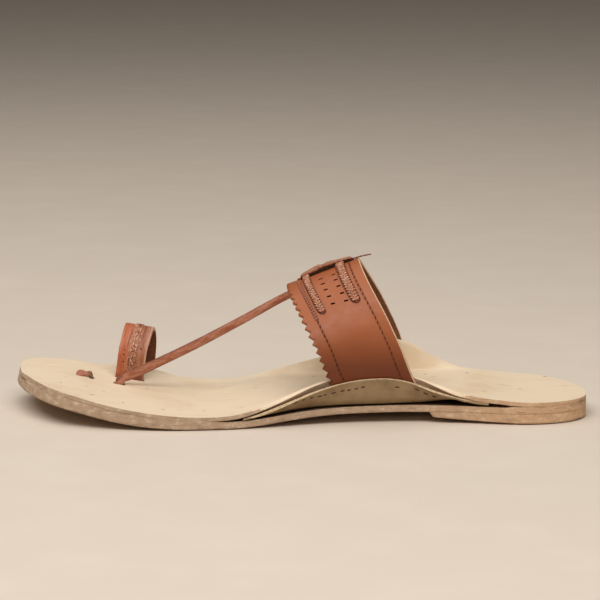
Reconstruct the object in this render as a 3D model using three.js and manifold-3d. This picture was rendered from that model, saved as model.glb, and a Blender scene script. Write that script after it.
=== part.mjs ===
// A left sandal of vegetable-tanned leather: a flat sole with a turned-up waist, an instep band,
// a toe loop and a thong. Millimetres, +Z up, toe at -X, the outer side of the foot at -Y.
import * as THREE from "three";
import { mergeVertices } from "three/addons/utils/BufferGeometryUtils.js";
import Module from "manifold-3d";

const wasm = await Module();
wasm.setup();

// Fit between neighbouring pieces.
const CLEARANCE = 0.3;

// Sole: overall length, widths and thicknesses.
const LENGTH = 262;
const HEEL_WIDTH = 66.5;
const WAIST_WIDTH = 61.5;
const BALL_WIDTH = 85.5;
const TOE_WIDTH = 76;
const OUTSOLE_THICK = 3.6;
const INSOLE_THICK = 2;
const HEEL_LIFT = 4;
const HEEL_LIFT_LENGTH = 72;
const LIFT_RISE = 2.2;
const LIFT_CHAMFER = 1.5;
const ARCH_RISE = 4.6;
const TOE_SPRING = 10.2;
const TOE_PADDING = 1.5;
const TOE_LEAN = 0.22;
const SOLE_BEVEL = 0.5;
const BEVEL_WIDTH = 2;

// Rounded ends of the outline: how far each cap reaches, where its point lies across the foot, and
// how square its corners are (2 is an ellipse).
const HEEL_CAP = 31;
const HEEL_POINT = 10.5;
const HEEL_CORNER_LATERAL = 2.2;
const HEEL_CORNER_MEDIAL = 1.85;
const TOE_CAP_LATERAL = 30;
const TOE_CAP_MEDIAL = 22;
const TOE_POINT = -17;
const TOE_CORNER_LATERAL = 1.6;
const TOE_CORNER_MEDIAL = 3;

// Waist: the ears and the insole's flanges, turned up round one bend.
const INSTEP = 0.366 * LENGTH;
const EAR_THICK = 1.6;
const EAR_FRONT = 60;
const EAR_REAR = 50;
const EAR_TUCK = 8;
const EAR_BEND = 4.6;
const EAR_PROUD = 2.4;
const EAR_SETDOWN = 2.1;
const EAR_ROOT = 0.5;
const UPRIGHT_RISE = 12;
const TURN_ONSET = 1.5;
const LATERAL_RIM = 10.8;
const MEDIAL_RIM = 15;

// Instep band.
const BAND_THICK = 2;
const POCKET_CLEARANCE = 0.5;
const BAND_REACH = 40.5;
const BAND_SKEW = 0.9;
const BAND_LEAN = 0.525;
const BAND_REAR_FOOT = 73.7;
const BAND_TOP_FRONT = 57.6;
const BAND_TOP_REAR = 70.3;
const BAND_SPRING = 30;
const BAND_BULGE = 1.5;
const BAND_NARROWING = 2.8;
const BAND_BOW_FRONT = 1.9;
const BAND_BOW_REAR = 1.25;
const BOW_STARTS = 20;
const BOW_FULL = 37;
const BOW_FADES = 46;
const BOW_ENDS = 66;
const TOOTH_PITCH = 4.3;
const TOOTH_DEPTH = 1.7;
const SLOT_LENGTH = 2.3;
const SLOT_WIDTH = 0.9;

// Braided strips over the crown of the band, and the lace laid over them.
const BRAID_THICK = 1;
const BRAID_FRONT_WIDTH = 3.8;
const BRAID_REAR_WIDTH = 4.5;
const CREST_WIDTH = 9;
const CREST_THICK = 1.1;
const TAIL_LENGTH = 6.5;
const TAIL_WIDTH = 1.6;
const TAIL_THICK = 0.8;

// Toe loop.
const LOOP_NEAR_SETBACK = 52;
const LOOP_FAR_SETBACK = 56;
const LOOP_NEAR_SIDE = -19;
const LOOP_TOP = 33.4;
const LOOP_WIDTH = 13;
const LOOP_THICK = 1.7;
const LOOP_TILT = 1.9;
const LOOP_TUCK = 8;
const RIB_WIDTH = 3;
const RIB_HEIGHT = 0.5;

// Thong.
const THONG_WIDTH = 2.8;
const THONG_HEIGHT = 4.6;
const THONG_TAPER = 0.76;
const THONG_SETBACK = 48;
const THONG_SIDE = -6.5;
const THONG_HUMP = 1.2;
const THONG_SHARE = 0.485;
const STRAP_END_SETBACK = 35.5;
const STRAP_END_LENGTH = 6;
const STRAP_END_WIDTH = 4;
const STRAP_END_THICK = 1.6;
const STRAP_END_TAPER = 0.75;

// A row for each section of the outline: how far along the sole, and how far the edge lies from
// the axis on either side.
const OUTLINE = [
  { along: 0.118, lateral: 0.508 * HEEL_WIDTH, medial: 0.485 * HEEL_WIDTH },
  { along: 0.22, lateral: 0.498 * WAIST_WIDTH, medial: 0.558 * WAIST_WIDTH },
  { along: 0.31, lateral: 0.472 * WAIST_WIDTH, medial: 0.535 * WAIST_WIDTH },
  { along: 0.4, lateral: 0.497 * WAIST_WIDTH, medial: 0.51 * WAIST_WIDTH },
  { along: 0.477, lateral: 0.556 * WAIST_WIDTH, medial: 0.535 * WAIST_WIDTH },
  { along: 0.553, lateral: 0.462 * BALL_WIDTH, medial: 0.428 * BALL_WIDTH },
  { along: 0.63, lateral: 0.515 * BALL_WIDTH, medial: 0.457 * BALL_WIDTH },
  { along: 0.725, lateral: 0.54 * BALL_WIDTH, medial: 0.46 * BALL_WIDTH },
  { along: 0.782, lateral: 0.526 * BALL_WIDTH, medial: 0.462 * BALL_WIDTH },
  { along: 0.84, lateral: 0.56 * TOE_WIDTH, medial: 0.507 * TOE_WIDTH },
  { along: 0.885, lateral: 0.508 * TOE_WIDTH, medial: 0.492 * TOE_WIDTH },
  { along: 0.916, lateral: 0.46 * TOE_WIDTH, medial: 0.474 * TOE_WIDTH },
];

// The underside of the outsole from the side: shares of the arch rise and of the toe spring.
const UNDERSIDE = [
  { along: 0, arch: 0, spring: 0 },
  { along: 0.16, arch: 0, spring: 0 },
  { along: 0.19, arch: 0.2, spring: 0 },
  { along: 0.22, arch: 0.62, spring: 0 },
  { along: 0.256, arch: 1, spring: 0 },
  { along: 0.29, arch: 1, spring: 0 },
  { along: 0.36, arch: 0.88, spring: 0 },
  { along: 0.427, arch: 0.78, spring: 0 },
  { along: 0.466, arch: 0.66, spring: 0 },
  { along: 0.5, arch: 0.5, spring: 0 },
  { along: 0.534, arch: 0.3, spring: 0 },
  { along: 0.565, arch: 0.12, spring: 0 },
  { along: 0.6, arch: 0, spring: 0 },
  { along: 0.67, arch: 0, spring: 0 },
  { along: 0.71, arch: 0, spring: 0.025 },
  { along: 0.745, arch: 0, spring: 0.075 },
  { along: 0.78, arch: 0, spring: 0.155 },
  { along: 0.813, arch: 0, spring: 0.29 },
  { along: 0.847, arch: 0, spring: 0.47 },
  { along: 0.88, arch: 0, spring: 0.65 },
  { along: 0.915, arch: 0, spring: 0.81 },
  { along: 0.95, arch: 0, spring: 0.92 },
  { along: 1, arch: 0, spring: 1 },
];

// The ground side of the heel lift: it rises from its flat spot to its front edge.
const LIFT_UNDERSIDE = [
  { along: 0, rise: 0 },
  { along: 0.36, rise: 0 },
  { along: 0.55, rise: 0.2 },
  { along: 0.7, rise: 0.42 },
  { along: 0.86, rise: 0.7 },
  { along: 1, rise: 1 },
];

// How far the insole is raised over the tucked ears, from the rear end (-1) to the front end (1).
const TUCK_RAISE = [
  { reach: -1.36, raise: 0 },
  { reach: -1.24, raise: 0.16 },
  { reach: -1.12, raise: 0.55 },
  { reach: -1, raise: 0.75 },
  { reach: -0.88, raise: 0.92 },
  { reach: -0.76, raise: 1 },
  { reach: 0.78, raise: 1 },
  { reach: 0.9, raise: 0.75 },
  { reach: 1, raise: 0.5 },
  { reach: 1.07, raise: 0.3 },
  { reach: 1.2, raise: 0 },
];

// Height of the flange rims over the insole, as shares of the two rim heights.
const RIMS = [
  { reach: -0.95, lateral: 0, medial: 0 },
  { reach: -0.8, lateral: 0.1, medial: 0.05 },
  { reach: -0.68, lateral: 0.26, medial: 0.19 },
  { reach: -0.58, lateral: 0.42, medial: 0.37 },
  { reach: -0.48, lateral: 0.57, medial: 0.57 },
  { reach: -0.4, lateral: 0.7, medial: 0.75 },
  { reach: -0.31, lateral: 0.83, medial: 0.91 },
  { reach: -0.18, lateral: 0.95, medial: 1 },
  { reach: -0.05, lateral: 1, medial: 1.01 },
  { reach: 0.1, lateral: 0.98, medial: 0.92 },
  { reach: 0.25, lateral: 0.89, medial: 0.71 },
  { reach: 0.4, lateral: 0.75, medial: 0.5 },
  { reach: 0.52, lateral: 0.61, medial: 0.36 },
  { reach: 0.633, lateral: 0.46, medial: 0.25 },
  { reach: 0.75, lateral: 0.29, medial: 0.15 },
  { reach: 0.9, lateral: 0.1, medial: 0.07 },
  { reach: 1.05, lateral: 0, medial: 0 },
];

const LATERAL = 1;
const MEDIAL = -1;
const QUARTER = Math.PI / 2;

const mix = THREE.MathUtils.lerp;
const clamp = THREE.MathUtils.clamp;
const smooth = THREE.MathUtils.smoothstep;

// A smooth curve through the rows of a table that doesn't overshoot them.
function read(rows, key, column, at) {
  const last = rows.length - 1;
  const x = clamp(at, rows[0][key], rows[last][key]);
  let i = 0;
  while (i < last - 1 && x > rows[i + 1][key]) i += 1;
  const slope = (k) => (rows[k + 1][column] - rows[k][column]) / (rows[k + 1][key] - rows[k][key]);
  const tangent = (k) => {
    if (k === 0 || k === last) return 0;
    const [before, after] = [slope(k - 1), slope(k)];
    return before * after > 0 ? (2 * before * after) / (before + after) : 0;
  };
  const width = rows[i + 1][key] - rows[i][key];
  const t = (x - rows[i][key]) / width;
  const [t2, t3] = [t * t, t * t * t];
  return (
    (2 * t3 - 3 * t2 + 1) * rows[i][column] +
    (t3 - 2 * t2 + t) * width * tangent(i) +
    (3 * t2 - 2 * t3) * rows[i + 1][column] +
    (t3 - t2) * width * tangent(i + 1)
  );
}

// Quarter of a superellipse: 1 at t = 0 and 0 at t = 1.
const capShare = (t, power) => (1 - clamp(t, 0, 1) ** power) ** (1 / power);

// Distance of the sole's edge from the axis at a station, on one side, signed towards the lateral.
function edge(a, side) {
  const column = side === LATERAL ? "lateral" : "medial";
  const plain = (at) => side * read(OUTLINE, "along", column, at / LENGTH);
  const toeCap = side === LATERAL ? TOE_CAP_LATERAL : TOE_CAP_MEDIAL;
  if (a < HEEL_CAP) {
    const corner = side === LATERAL ? HEEL_CORNER_LATERAL : HEEL_CORNER_MEDIAL;
    return mix(HEEL_POINT, plain(HEEL_CAP), capShare(1 - a / HEEL_CAP, corner));
  }
  if (a > LENGTH - toeCap) {
    const corner = side === LATERAL ? TOE_CORNER_LATERAL : TOE_CORNER_MEDIAL;
    return mix(TOE_POINT, plain(LENGTH - toeCap), capShare(1 - (LENGTH - a) / toeCap, corner));
  }
  return plain(a);
}

// Points across the sole at a station: its edges, the bevels' inner lines and shares between them.
function acrossSole(a, shares) {
  const half = (edge(a, LATERAL) - edge(a, MEDIAL)) / 2;
  const middle = (edge(a, LATERAL) + edge(a, MEDIAL)) / 2;
  const flat = half - Math.min(BEVEL_WIDTH, half / 2);
  return [-half, -flat, ...shares.map((share) => share * flat), flat, half].map((y) => middle + y);
}

// Heights of the sole's layers at a station. Ahead of the heel lift the sole comes down to the ball.
const BALL_REST = 0.6 * LENGTH;
const heelStand = (a) => (HEEL_LIFT + CLEARANCE) * (1 - smooth(a, HEEL_LIFT_LENGTH, BALL_REST));
function underside(a) {
  const arch = read(UNDERSIDE, "along", "arch", a / LENGTH);
  const spring = read(UNDERSIDE, "along", "spring", a / LENGTH);
  return mix(heelStand(a), ARCH_RISE, arch) + TOE_SPRING * spring;
}

// The outsole is padded over the buried ends of the toe's straps, between these stations.
const PADDING_STARTS = 0.65 * LENGTH;
const PADDING_FULL = 0.81 * LENGTH;
const padding = (a) => TOE_PADDING * smooth(a, PADDING_STARTS, PADDING_FULL);
const outsoleTop = (a) => underside(a) + OUTSOLE_THICK + padding(a);

// The toe's edge stands square on the sprung sole, so its upper rim is set back to this station.
const LEAN_STARTS = 0.82 * LENGTH;
const LEAN_FULL = 0.935 * LENGTH;
const lean = (a, z) => a - TOE_LEAN * smooth(a, LEAN_STARTS, LEAN_FULL) * (z - underside(a));

const reach = (a) => (a - INSTEP) / (a > INSTEP ? EAR_FRONT : EAR_REAR);
const station = (share) => INSTEP + share * (share > 0 ? EAR_FRONT : EAR_REAR);
const raise = (a) => CLEARANCE + read(TUCK_RAISE, "reach", "raise", reach(a)) * (EAR_THICK + CLEARANCE);
const earThick = (a) => raise(a) - 2 * CLEARANCE;
const insoleUnder = (a) => outsoleTop(a) + raise(a);

// The turned-up waist. Both layers turn round one centre, so the ear lies outside the flange.
const FLANGE_BEND = EAR_BEND - EAR_THICK - CLEARANCE;
const EAR_ARC = EAR_BEND * QUARTER;
const FLANGE_ARC = FLANGE_BEND * QUARTER;
const FLANGE_ROOT = UPRIGHT_RISE / (TURN_ONSET * QUARTER) - FLANGE_ARC / 2;
const FLANGE_ROOM = 1.6 * (FLANGE_ARC + FLANGE_ROOT);

const rim = (a, side) =>
  side === LATERAL
    ? LATERAL_RIM * read(RIMS, "reach", "lateral", reach(a))
    : MEDIAL_RIM * read(RIMS, "reach", "medial", reach(a));

const arcRise = (arc, turn) => (turn > 1e-6 ? (arc / turn) * (1 - Math.cos(turn)) : 0);
const arcRun = (arc, turn) => (turn > 1e-6 ? (arc / turn) * Math.sin(turn) : arc);

// Between these stations the flange leaves room for the band's feet.
const POCKET_REAR = BAND_REAR_FOOT - 1;
const POCKET_FRONT = BAND_REAR_FOOT + BAND_REACH + BAND_SKEW + BAND_LEAN * (MEDIAL_RIM - EAR_SETDOWN) + 1;

// The angle by which the flange is turned up where its rim has this height.
const turnOf = (height) => QUARTER * (1 - (1 - Math.min(height / UPRIGHT_RISE, 1)) ** TURN_ONSET);

// How far the flange stands back from the ear to let the band's feet in between them.
function pocket(a) {
  const ramp = 10;
  const rear = smooth(a, POCKET_REAR - ramp, POCKET_REAR);
  const front = smooth(a, POCKET_FRONT, POCKET_FRONT + ramp);
  return rear * (1 - front) * (BAND_THICK + 2 * POCKET_CLEARANCE - CLEARANCE);
}

// Sizes of the turned-up edge at a station: its angle, the straight lengths of flange and ear
// above the bend, and how far from the axis the bend starts.
function turnedEdge(a, side) {
  const height = rim(a, side);
  const turn = turnOf(height);
  const upright = Math.sin(turn);
  const lip = INSOLE_THICK * (1 - Math.cos(turn));
  const flange = turn > 0.01 ? (height + lip - arcRise(FLANGE_ARC, turn)) / upright : FLANGE_ROOT;
  const ear = mix(EAR_ROOT, flange - EAR_SETDOWN, upright);
  const flangeRun = arcRun(FLANGE_ARC, turn) + flange * Math.cos(turn);
  const earRun = arcRun(EAR_ARC, turn) + ear * Math.cos(turn);
  const start = Math.abs(edge(a, side)) + EAR_PROUD * upright - mix(flangeRun, earRun, upright);
  return { turn, flange, ear, start };
}

// Points across a turned-up edge, from the flat to the rim: distance from the axis and height of
// the outer face and of the inner face.
function turnedPoints({ start, turn, length, arc, base, thick }) {
  const points = [];
  const bendSteps = 4;
  const rimSteps = 2;
  for (let i = 0; i <= bendSteps + rimSteps; i += 1) {
    const angle = turn * Math.min(i / bendSteps, 1);
    const straight = length * Math.max((i - bendSteps) / rimSteps, 0);
    const bent = arc * Math.min(i / bendSteps, 1);
    const y = start + arcRun(bent, angle) + straight * Math.cos(turn);
    const z = base + arcRise(bent, angle) + straight * Math.sin(turn);
    points.push({ y, z, innerY: y - thick * Math.sin(angle), innerZ: z + thick * Math.cos(angle) });
  }
  return points;
}

const at = (a, y, z) => new THREE.Vector3(LENGTH / 2 - a, -y, z);

// A closed solid from two grids of points, one for each face, joined round their borders.
function sheet(outer, inner) {
  const rows = outer.length;
  const columns = outer[0].length;
  const positions = [];
  for (const grid of [outer, inner]) {
    for (const row of grid) {
      for (const p of row) positions.push(p.x, p.y, p.z);
    }
  }
  const index = [];
  const id = (face, i, j) => (face * rows + i) * columns + j;
  const quad = (a, b, c, d) => index.push(a, b, c, a, c, d);
  for (let i = 0; i < rows - 1; i += 1) {
    for (let j = 0; j < columns - 1; j += 1) {
      quad(id(0, i, j), id(0, i + 1, j), id(0, i + 1, j + 1), id(0, i, j + 1));
      quad(id(1, i, j), id(1, i, j + 1), id(1, i + 1, j + 1), id(1, i + 1, j));
    }
  }
  for (let i = 0; i < rows - 1; i += 1) {
    quad(id(0, i, 0), id(1, i, 0), id(1, i + 1, 0), id(0, i + 1, 0));
    const j = columns - 1;
    quad(id(0, i, j), id(0, i + 1, j), id(1, i + 1, j), id(1, i, j));
  }
  for (let j = 0; j < columns - 1; j += 1) {
    quad(id(0, 0, j), id(0, 0, j + 1), id(1, 0, j + 1), id(1, 0, j));
    const i = rows - 1;
    quad(id(0, i, j), id(1, i, j), id(1, i, j + 1), id(0, i, j + 1));
  }
  return closed(positions, index);
}

// A closed tube through rings of points, with a flat cap at each end.
function tube(rings) {
  const sides = rings[0].length;
  const positions = rings.flat().flatMap((p) => [p.x, p.y, p.z]);
  const index = [];
  for (let i = 0; i < rings.length - 1; i += 1) {
    for (let j = 0; j < sides; j += 1) {
      const k = (j + 1) % sides;
      const [a, b] = [i * sides + j, i * sides + k];
      index.push(a, b, b + sides, a, b + sides, a + sides);
    }
  }
  const top = (rings.length - 1) * sides;
  for (let j = 1; j < sides - 1; j += 1) {
    index.push(0, j + 1, j);
    index.push(top, top + j, top + j + 1);
  }
  return closed(positions, index);
}

// Merges what coincides, drops the triangles that this closes up and turns the faces outwards.
function closed(positions, index) {
  const raw = new THREE.BufferGeometry();
  raw.setAttribute("position", new THREE.Float32BufferAttribute(positions, 3));
  raw.setIndex(index);
  const geometry = mergeVertices(raw, 1e-4);
  const merged = geometry.index.array;
  const kept = [];
  for (let i = 0; i < merged.length; i += 3) {
    const [a, b, c] = [merged[i], merged[i + 1], merged[i + 2]];
    if (a !== b && b !== c && c !== a) kept.push(a, b, c);
  }
  geometry.setIndex(kept);
  if (volume(geometry) < 0) geometry.setIndex(kept.slice().reverse());
  return geometry;
}

function volume(geometry) {
  const position = geometry.getAttribute("position");
  const index = geometry.index.array;
  const corner = [new THREE.Vector3(), new THREE.Vector3(), new THREE.Vector3()];
  let sum = 0;
  for (let i = 0; i < index.length; i += 3) {
    corner.forEach((p, k) => p.fromBufferAttribute(position, index[i + k]));
    sum += corner[0].dot(corner[1].clone().cross(corner[2])) / 6;
  }
  return sum;
}

function solid(geometry) {
  const plain = geometry.clone();
  plain.deleteAttribute("normal");
  plain.deleteAttribute("uv");
  const merged = mergeVertices(plain, 1e-4);
  const mesh = new wasm.Mesh({
    numProp: 3,
    vertProperties: new Float32Array(merged.getAttribute("position").array),
    triVerts: new Uint32Array(merged.index.array),
  });
  return new wasm.Manifold(mesh);
}

function subtract(geometry, cutters) {
  let body = solid(geometry);
  for (const cutter of cutters) body = body.subtract(solid(cutter));
  const mesh = body.getMesh();
  const cut = new THREE.BufferGeometry();
  cut.setAttribute("position", new THREE.BufferAttribute(mesh.vertProperties, 3));
  cut.setIndex(new THREE.BufferAttribute(mesh.triVerts, 1));
  return cut;
}

// Stations along the sole: close together round the caps, even between them.
function stations(from, to, step) {
  const list = [];
  const capSteps = 8;
  const heelEnd = Math.max(from, HEEL_CAP);
  const toeStart = Math.min(to, LENGTH - TOE_CAP_LATERAL);
  if (from < HEEL_CAP) {
    for (let i = 0; i < capSteps; i += 1) {
      list.push(from + (HEEL_CAP - from) * (1 - Math.cos((QUARTER * i) / capSteps)));
    }
  }
  const middle = Math.max(Math.round((toeStart - heelEnd) / step), 1);
  for (let i = 0; i <= middle; i += 1) list.push(mix(heelEnd, toeStart, i / middle));
  if (to > toeStart) {
    for (let i = 1; i <= capSteps; i += 1) {
      list.push(toeStart + (to - toeStart) * Math.sin((QUARTER * i) / capSteps));
    }
  }
  return list;
}

// Insole bumps: the toe loop's foot and the thong's end lie under it.
const BUMPS = [
  {
    a: LENGTH - LOOP_FAR_SETBACK,
    y: edge(LENGTH - LOOP_FAR_SETBACK, MEDIAL),
    length: LOOP_WIDTH / 2 + 1,
    width: LOOP_TUCK + 1,
    height: LOOP_THICK + 2 * CLEARANCE,
  },
  {
    a: LENGTH - (THONG_SETBACK + STRAP_END_SETBACK) / 2,
    y: THONG_SIDE,
    length: (THONG_SETBACK - STRAP_END_SETBACK) / 3,
    width: THONG_WIDTH,
    height: THONG_HUMP,
  },
];
function bump(a, y) {
  let sum = 0;
  for (const b of BUMPS) {
    const d = Math.hypot((a - b.a) / b.length, (y - b.y) / b.width);
    sum += b.height * (1 - smooth(d, 1, 2.6));
  }
  return sum;
}

// Height of a sole layer's underside over its flat: only the two border points are bevelled.
const bevel = (across, j) => (j === 0 || j === across.length - 1 ? SOLE_BEVEL : 0);

// Distance between the sections that the sole's layers are lofted through.
const OUTSOLE_STEP = 7.5;
const INSOLE_STEP = 6.8;

function makeOutsole() {
  const [top, bottom] = [[], []];
  for (const a of stations(0, LENGTH, OUTSOLE_STEP)) {
    const across = acrossSole(a, [-0.5, 0, 0.5]);
    const height = outsoleTop(a);
    top.push(across.map((y) => at(lean(a, height), y, height)));
    bottom.push(across.map((y, j) => at(a, y, underside(a) + bevel(across, j))));
  }
  return sheet(top, bottom);
}

function makeHeelLift() {
  const [top, bottom] = [[], []];
  for (const a of stations(0, HEEL_LIFT_LENGTH, 7)) {
    const across = acrossSole(a, [0]);
    const foot = Math.min(a, HEEL_LIFT_LENGTH - LIFT_CHAMFER);
    const ground = LIFT_RISE * read(LIFT_UNDERSIDE, "along", "rise", a / HEEL_LIFT_LENGTH);
    top.push(across.map((y) => at(a, y, underside(a) - CLEARANCE)));
    bottom.push(across.map((y, j) => at(foot, y, ground + bevel(across, j))));
  }
  return sheet(top, bottom);
}

// Points across one side of the insole: the turned-up flange, or near the tips of the sole, where
// it has no room, points spread out to the edge.
function insoleSide(a, side) {
  const { turn, flange, start } = turnedEdge(a, side);
  const flat = { start: start - pocket(a), turn, length: flange };
  const points = turnedPoints({ ...flat, arc: FLANGE_ARC, base: insoleUnder(a), thick: INSOLE_THICK });
  const half = (edge(a, LATERAL) - edge(a, MEDIAL)) / 2;
  const middle = (edge(a, LATERAL) + edge(a, MEDIAL)) / 2;
  if (half > FLANGE_ROOM) return points;
  return points.map((p, i) => {
    const y = side * middle + half * mix(0.4, 1, i / (points.length - 1));
    return { ...p, y, innerY: y };
  });
}

function makeInsole() {
  const [top, bottom] = [[], []];
  for (const a of stations(0, LENGTH, INSOLE_STEP)) {
    const lateral = insoleSide(a, LATERAL).reverse();
    const medial = insoleSide(a, MEDIAL).map((p) => ({ ...p, y: -p.y, innerY: -p.innerY }));
    const base = insoleUnder(a);
    const flat = [0.975, 0.75, 0.5, 0.25, 0.025].map((share) => {
      const y = mix(medial[0].y, lateral[lateral.length - 1].y, share);
      return { y, z: base, innerY: y, innerZ: base + INSOLE_THICK };
    });
    const across = [...lateral, ...flat, ...medial];
    const leaned = (y, z) => at(lean(a, z), y, z);
    bottom.push(across.map((p) => leaned(p.y, p.z + bump(a, p.y))));
    top.push(across.map((p) => leaned(p.innerY, p.innerZ + bump(a, p.y))));
  }
  return subtract(sheet(top, bottom), slits());
}

// A slit through the insole, a clearance larger all round than the strap that passes it.
function slit(a, y, length, width) {
  const deep = 12;
  const cutter = new THREE.BoxGeometry(length + 2 * CLEARANCE, width + 2 * CLEARANCE, deep);
  const place = at(a, y, insoleUnder(a));
  return cutter.translate(place.x, place.y, place.z);
}

function slits() {
  return [
    slit(LENGTH - LOOP_NEAR_SETBACK, LOOP_NEAR_SIDE, LOOP_WIDTH, LOOP_THICK),
    slit(LENGTH - THONG_SETBACK, THONG_SIDE, THONG_HEIGHT, THONG_WIDTH),
    slit(LENGTH - STRAP_END_SETBACK, THONG_SIDE, STRAP_END_THICK, STRAP_END_WIDTH),
  ];
}

function makeEar(side) {
  const [outer, inner] = [[], []];
  const steps = 24;
  for (let i = 0; i <= steps; i += 1) {
    const a = mix(station(-1), station(1), i / steps);
    const thick = earThick(a);
    const base = insoleUnder(a) - CLEARANCE - thick;
    const { turn, ear, start } = turnedEdge(a, side);
    const points = turnedPoints({ start, turn, length: ear, arc: EAR_ARC, base, thick });
    const tuck = { y: start - EAR_TUCK, z: base, innerY: start - EAR_TUCK, innerZ: base + thick };
    const across = [tuck, ...points];
    outer.push(across.map((p) => at(a, side * p.y, p.z)));
    inner.push(across.map((p) => at(a, side * p.innerY, p.innerZ)));
  }
  return sheet(outer, inner);
}

// Height of an ear's rim at the instep.
function rimTop(side) {
  const bendTop = insoleUnder(INSTEP) - CLEARANCE - EAR_THICK + EAR_BEND;
  const lip = INSOLE_THICK - FLANGE_BEND - EAR_SETDOWN;
  return bendTop + lip + (side === LATERAL ? LATERAL_RIM : MEDIAL_RIM);
}

// Height at which the band's feet stand on the bend of the ears.
const footHeight = (a) => outsoleTop(a) + CLEARANCE + EAR_BEND + CLEARANCE;

// Where a share across the band, from its front edge (0) to its rear edge (1), lies along the sole
// at a height. The rear edge comes forward towards the feet, and the walls bow back between them
// and the crown.
const bandRearBase = BAND_REAR_FOOT - BAND_LEAN * footHeight(BAND_REAR_FOOT);
function bandStation(u, z, skew = 0) {
  const narrowing = BAND_NARROWING * u * (1 - smooth(z, 0, BAND_TOP_REAR));
  const bowed = smooth(z, BOW_STARTS, BOW_FULL) * (1 - smooth(z, BOW_FADES, BOW_ENDS));
  const bow = mix(BAND_BOW_FRONT, BAND_BOW_REAR, u) * bowed;
  return bandRearBase + BAND_REACH * (1 - u) + BAND_LEAN * z + BAND_SKEW * skew + narrowing - bow;
}

// Distance of the band's outer face from the axis in its pocket, a clearance inside the ear.
function pocketFace(a, z, side) {
  const { turn, start } = turnedEdge(a, side);
  const bendTop = insoleUnder(a) - CLEARANCE - EAR_THICK + arcRise(EAR_ARC, turn);
  const up = (Math.min(z, rimTop(side)) - EAR_THICK * Math.cos(turn) - bendTop) / Math.sin(turn);
  const inward = EAR_THICK * Math.sin(turn) + POCKET_CLEARANCE / Math.sin(turn);
  return start + arcRun(EAR_ARC, turn) + up * Math.cos(turn) - inward;
}

// A point on the band's wall, from its foot (0) to the spring of its arch (1).
function wallPoint(u, side, t) {
  const skew = side === MEDIAL ? 1 : 0;
  const foot = footHeight(bandStation(u, footHeight(INSTEP), skew));
  const z = mix(foot, BAND_SPRING, t);
  const top = rimTop(side);
  const face = pocketFace(bandStation(u, Math.min(z, top), skew), z, side);
  const y = face + BAND_BULGE * smooth(z, top, BAND_SPRING);
  return at(bandStation(u, z, skew), side * y, z);
}

// A slice of the band's outer face: from the lateral foot over the crown to the medial foot.
const slices = new Map();
function slice(u) {
  if (slices.has(u)) return slices.get(u);
  const crown = mix(BAND_TOP_FRONT, BAND_TOP_REAR, u);
  const wallSteps = 6;
  const archSteps = 12;
  const points = [];
  for (let i = 0; i < wallSteps; i += 1) points.push(wallPoint(u, LATERAL, i / wallSteps));
  for (let i = 0; i <= archSteps; i += 1) {
    const angle = (Math.PI * i) / archSteps;
    const side = angle < QUARTER ? LATERAL : MEDIAL;
    const skew = side === MEDIAL ? -Math.cos(angle) : 0;
    const rimStation = bandStation(u, rimTop(side), Math.sign(skew));
    const half = pocketFace(rimStation, rimTop(side), side) + BAND_BULGE;
    const z = BAND_SPRING + (crown - BAND_SPRING) * Math.sin(angle);
    points.push(at(bandStation(u, z, skew), half * Math.cos(angle), z));
  }
  for (let i = wallSteps - 1; i >= 0; i -= 1) points.push(wallPoint(u, MEDIAL, i / wallSteps));
  const curve = new THREE.CatmullRomCurve3(points, false, "centripetal");
  curve.arcLengthDivisions = 400;
  slices.set(u, curve);
  return curve;
}

// A point over the band at shares u across and s along it, a height above its outer face.
function overBand(u, s, height) {
  const step = 0.01;
  const point = slice(u).getPointAt(s);
  const along = slice(u).getTangentAt(s);
  const across = slice(u + step).getPointAt(s).sub(point);
  const normal = across.cross(along).normalize();
  return point.addScaledVector(normal, height);
}

const bandWidth = BAND_REACH * Math.cos(Math.atan(BAND_LEAN));

function makeBand() {
  const teeth = Math.round(slice(0).getLength() / TOOTH_PITCH);
  const columns = 2 * teeth;
  const rows = [0, 0.14, 0.3, 0.5, 0.7, 0.86, 1];
  const [outer, inner] = [[], []];
  rows.forEach((u, i) => {
    const [over, under] = [[], []];
    for (let j = 0; j <= columns; j += 1) {
      const notch = i === 0 && j % 2 === 0 ? TOOTH_DEPTH / bandWidth : 0;
      over.push(overBand(u + notch, j / columns, 0));
      under.push(overBand(u + notch, j / columns, -BAND_THICK));
    }
    outer.push(over);
    inner.push(under);
  });
  return subtract(sheet(outer, inner), slots());
}

// Two rows of punched slots on each side of the crown.
const SLOT_ROWS = [0.46, 0.63];
const SLOT_SHARES = [0.315, 0.345, 0.375, 0.405, 0.435];
function slots() {
  const cutters = [];
  for (const u of SLOT_ROWS) {
    for (const share of SLOT_SHARES) {
      for (const s of [share, 1 - share]) {
        const middle = overBand(u, s, -BAND_THICK / 2);
        const outward = overBand(u, s, 1).sub(overBand(u, s, 0));
        const across = overBand(u + 0.02, s, 0).sub(overBand(u - 0.02, s, 0)).normalize();
        const along = outward.clone().cross(across).normalize();
        const box = new THREE.BoxGeometry(SLOT_LENGTH, SLOT_WIDTH, BAND_THICK * 2);
        const basis = new THREE.Matrix4().makeBasis(across, along, outward.normalize());
        box.applyMatrix4(basis.setPosition(middle));
        cutters.push(box);
      }
    }
  }
  return cutters;
}

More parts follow.
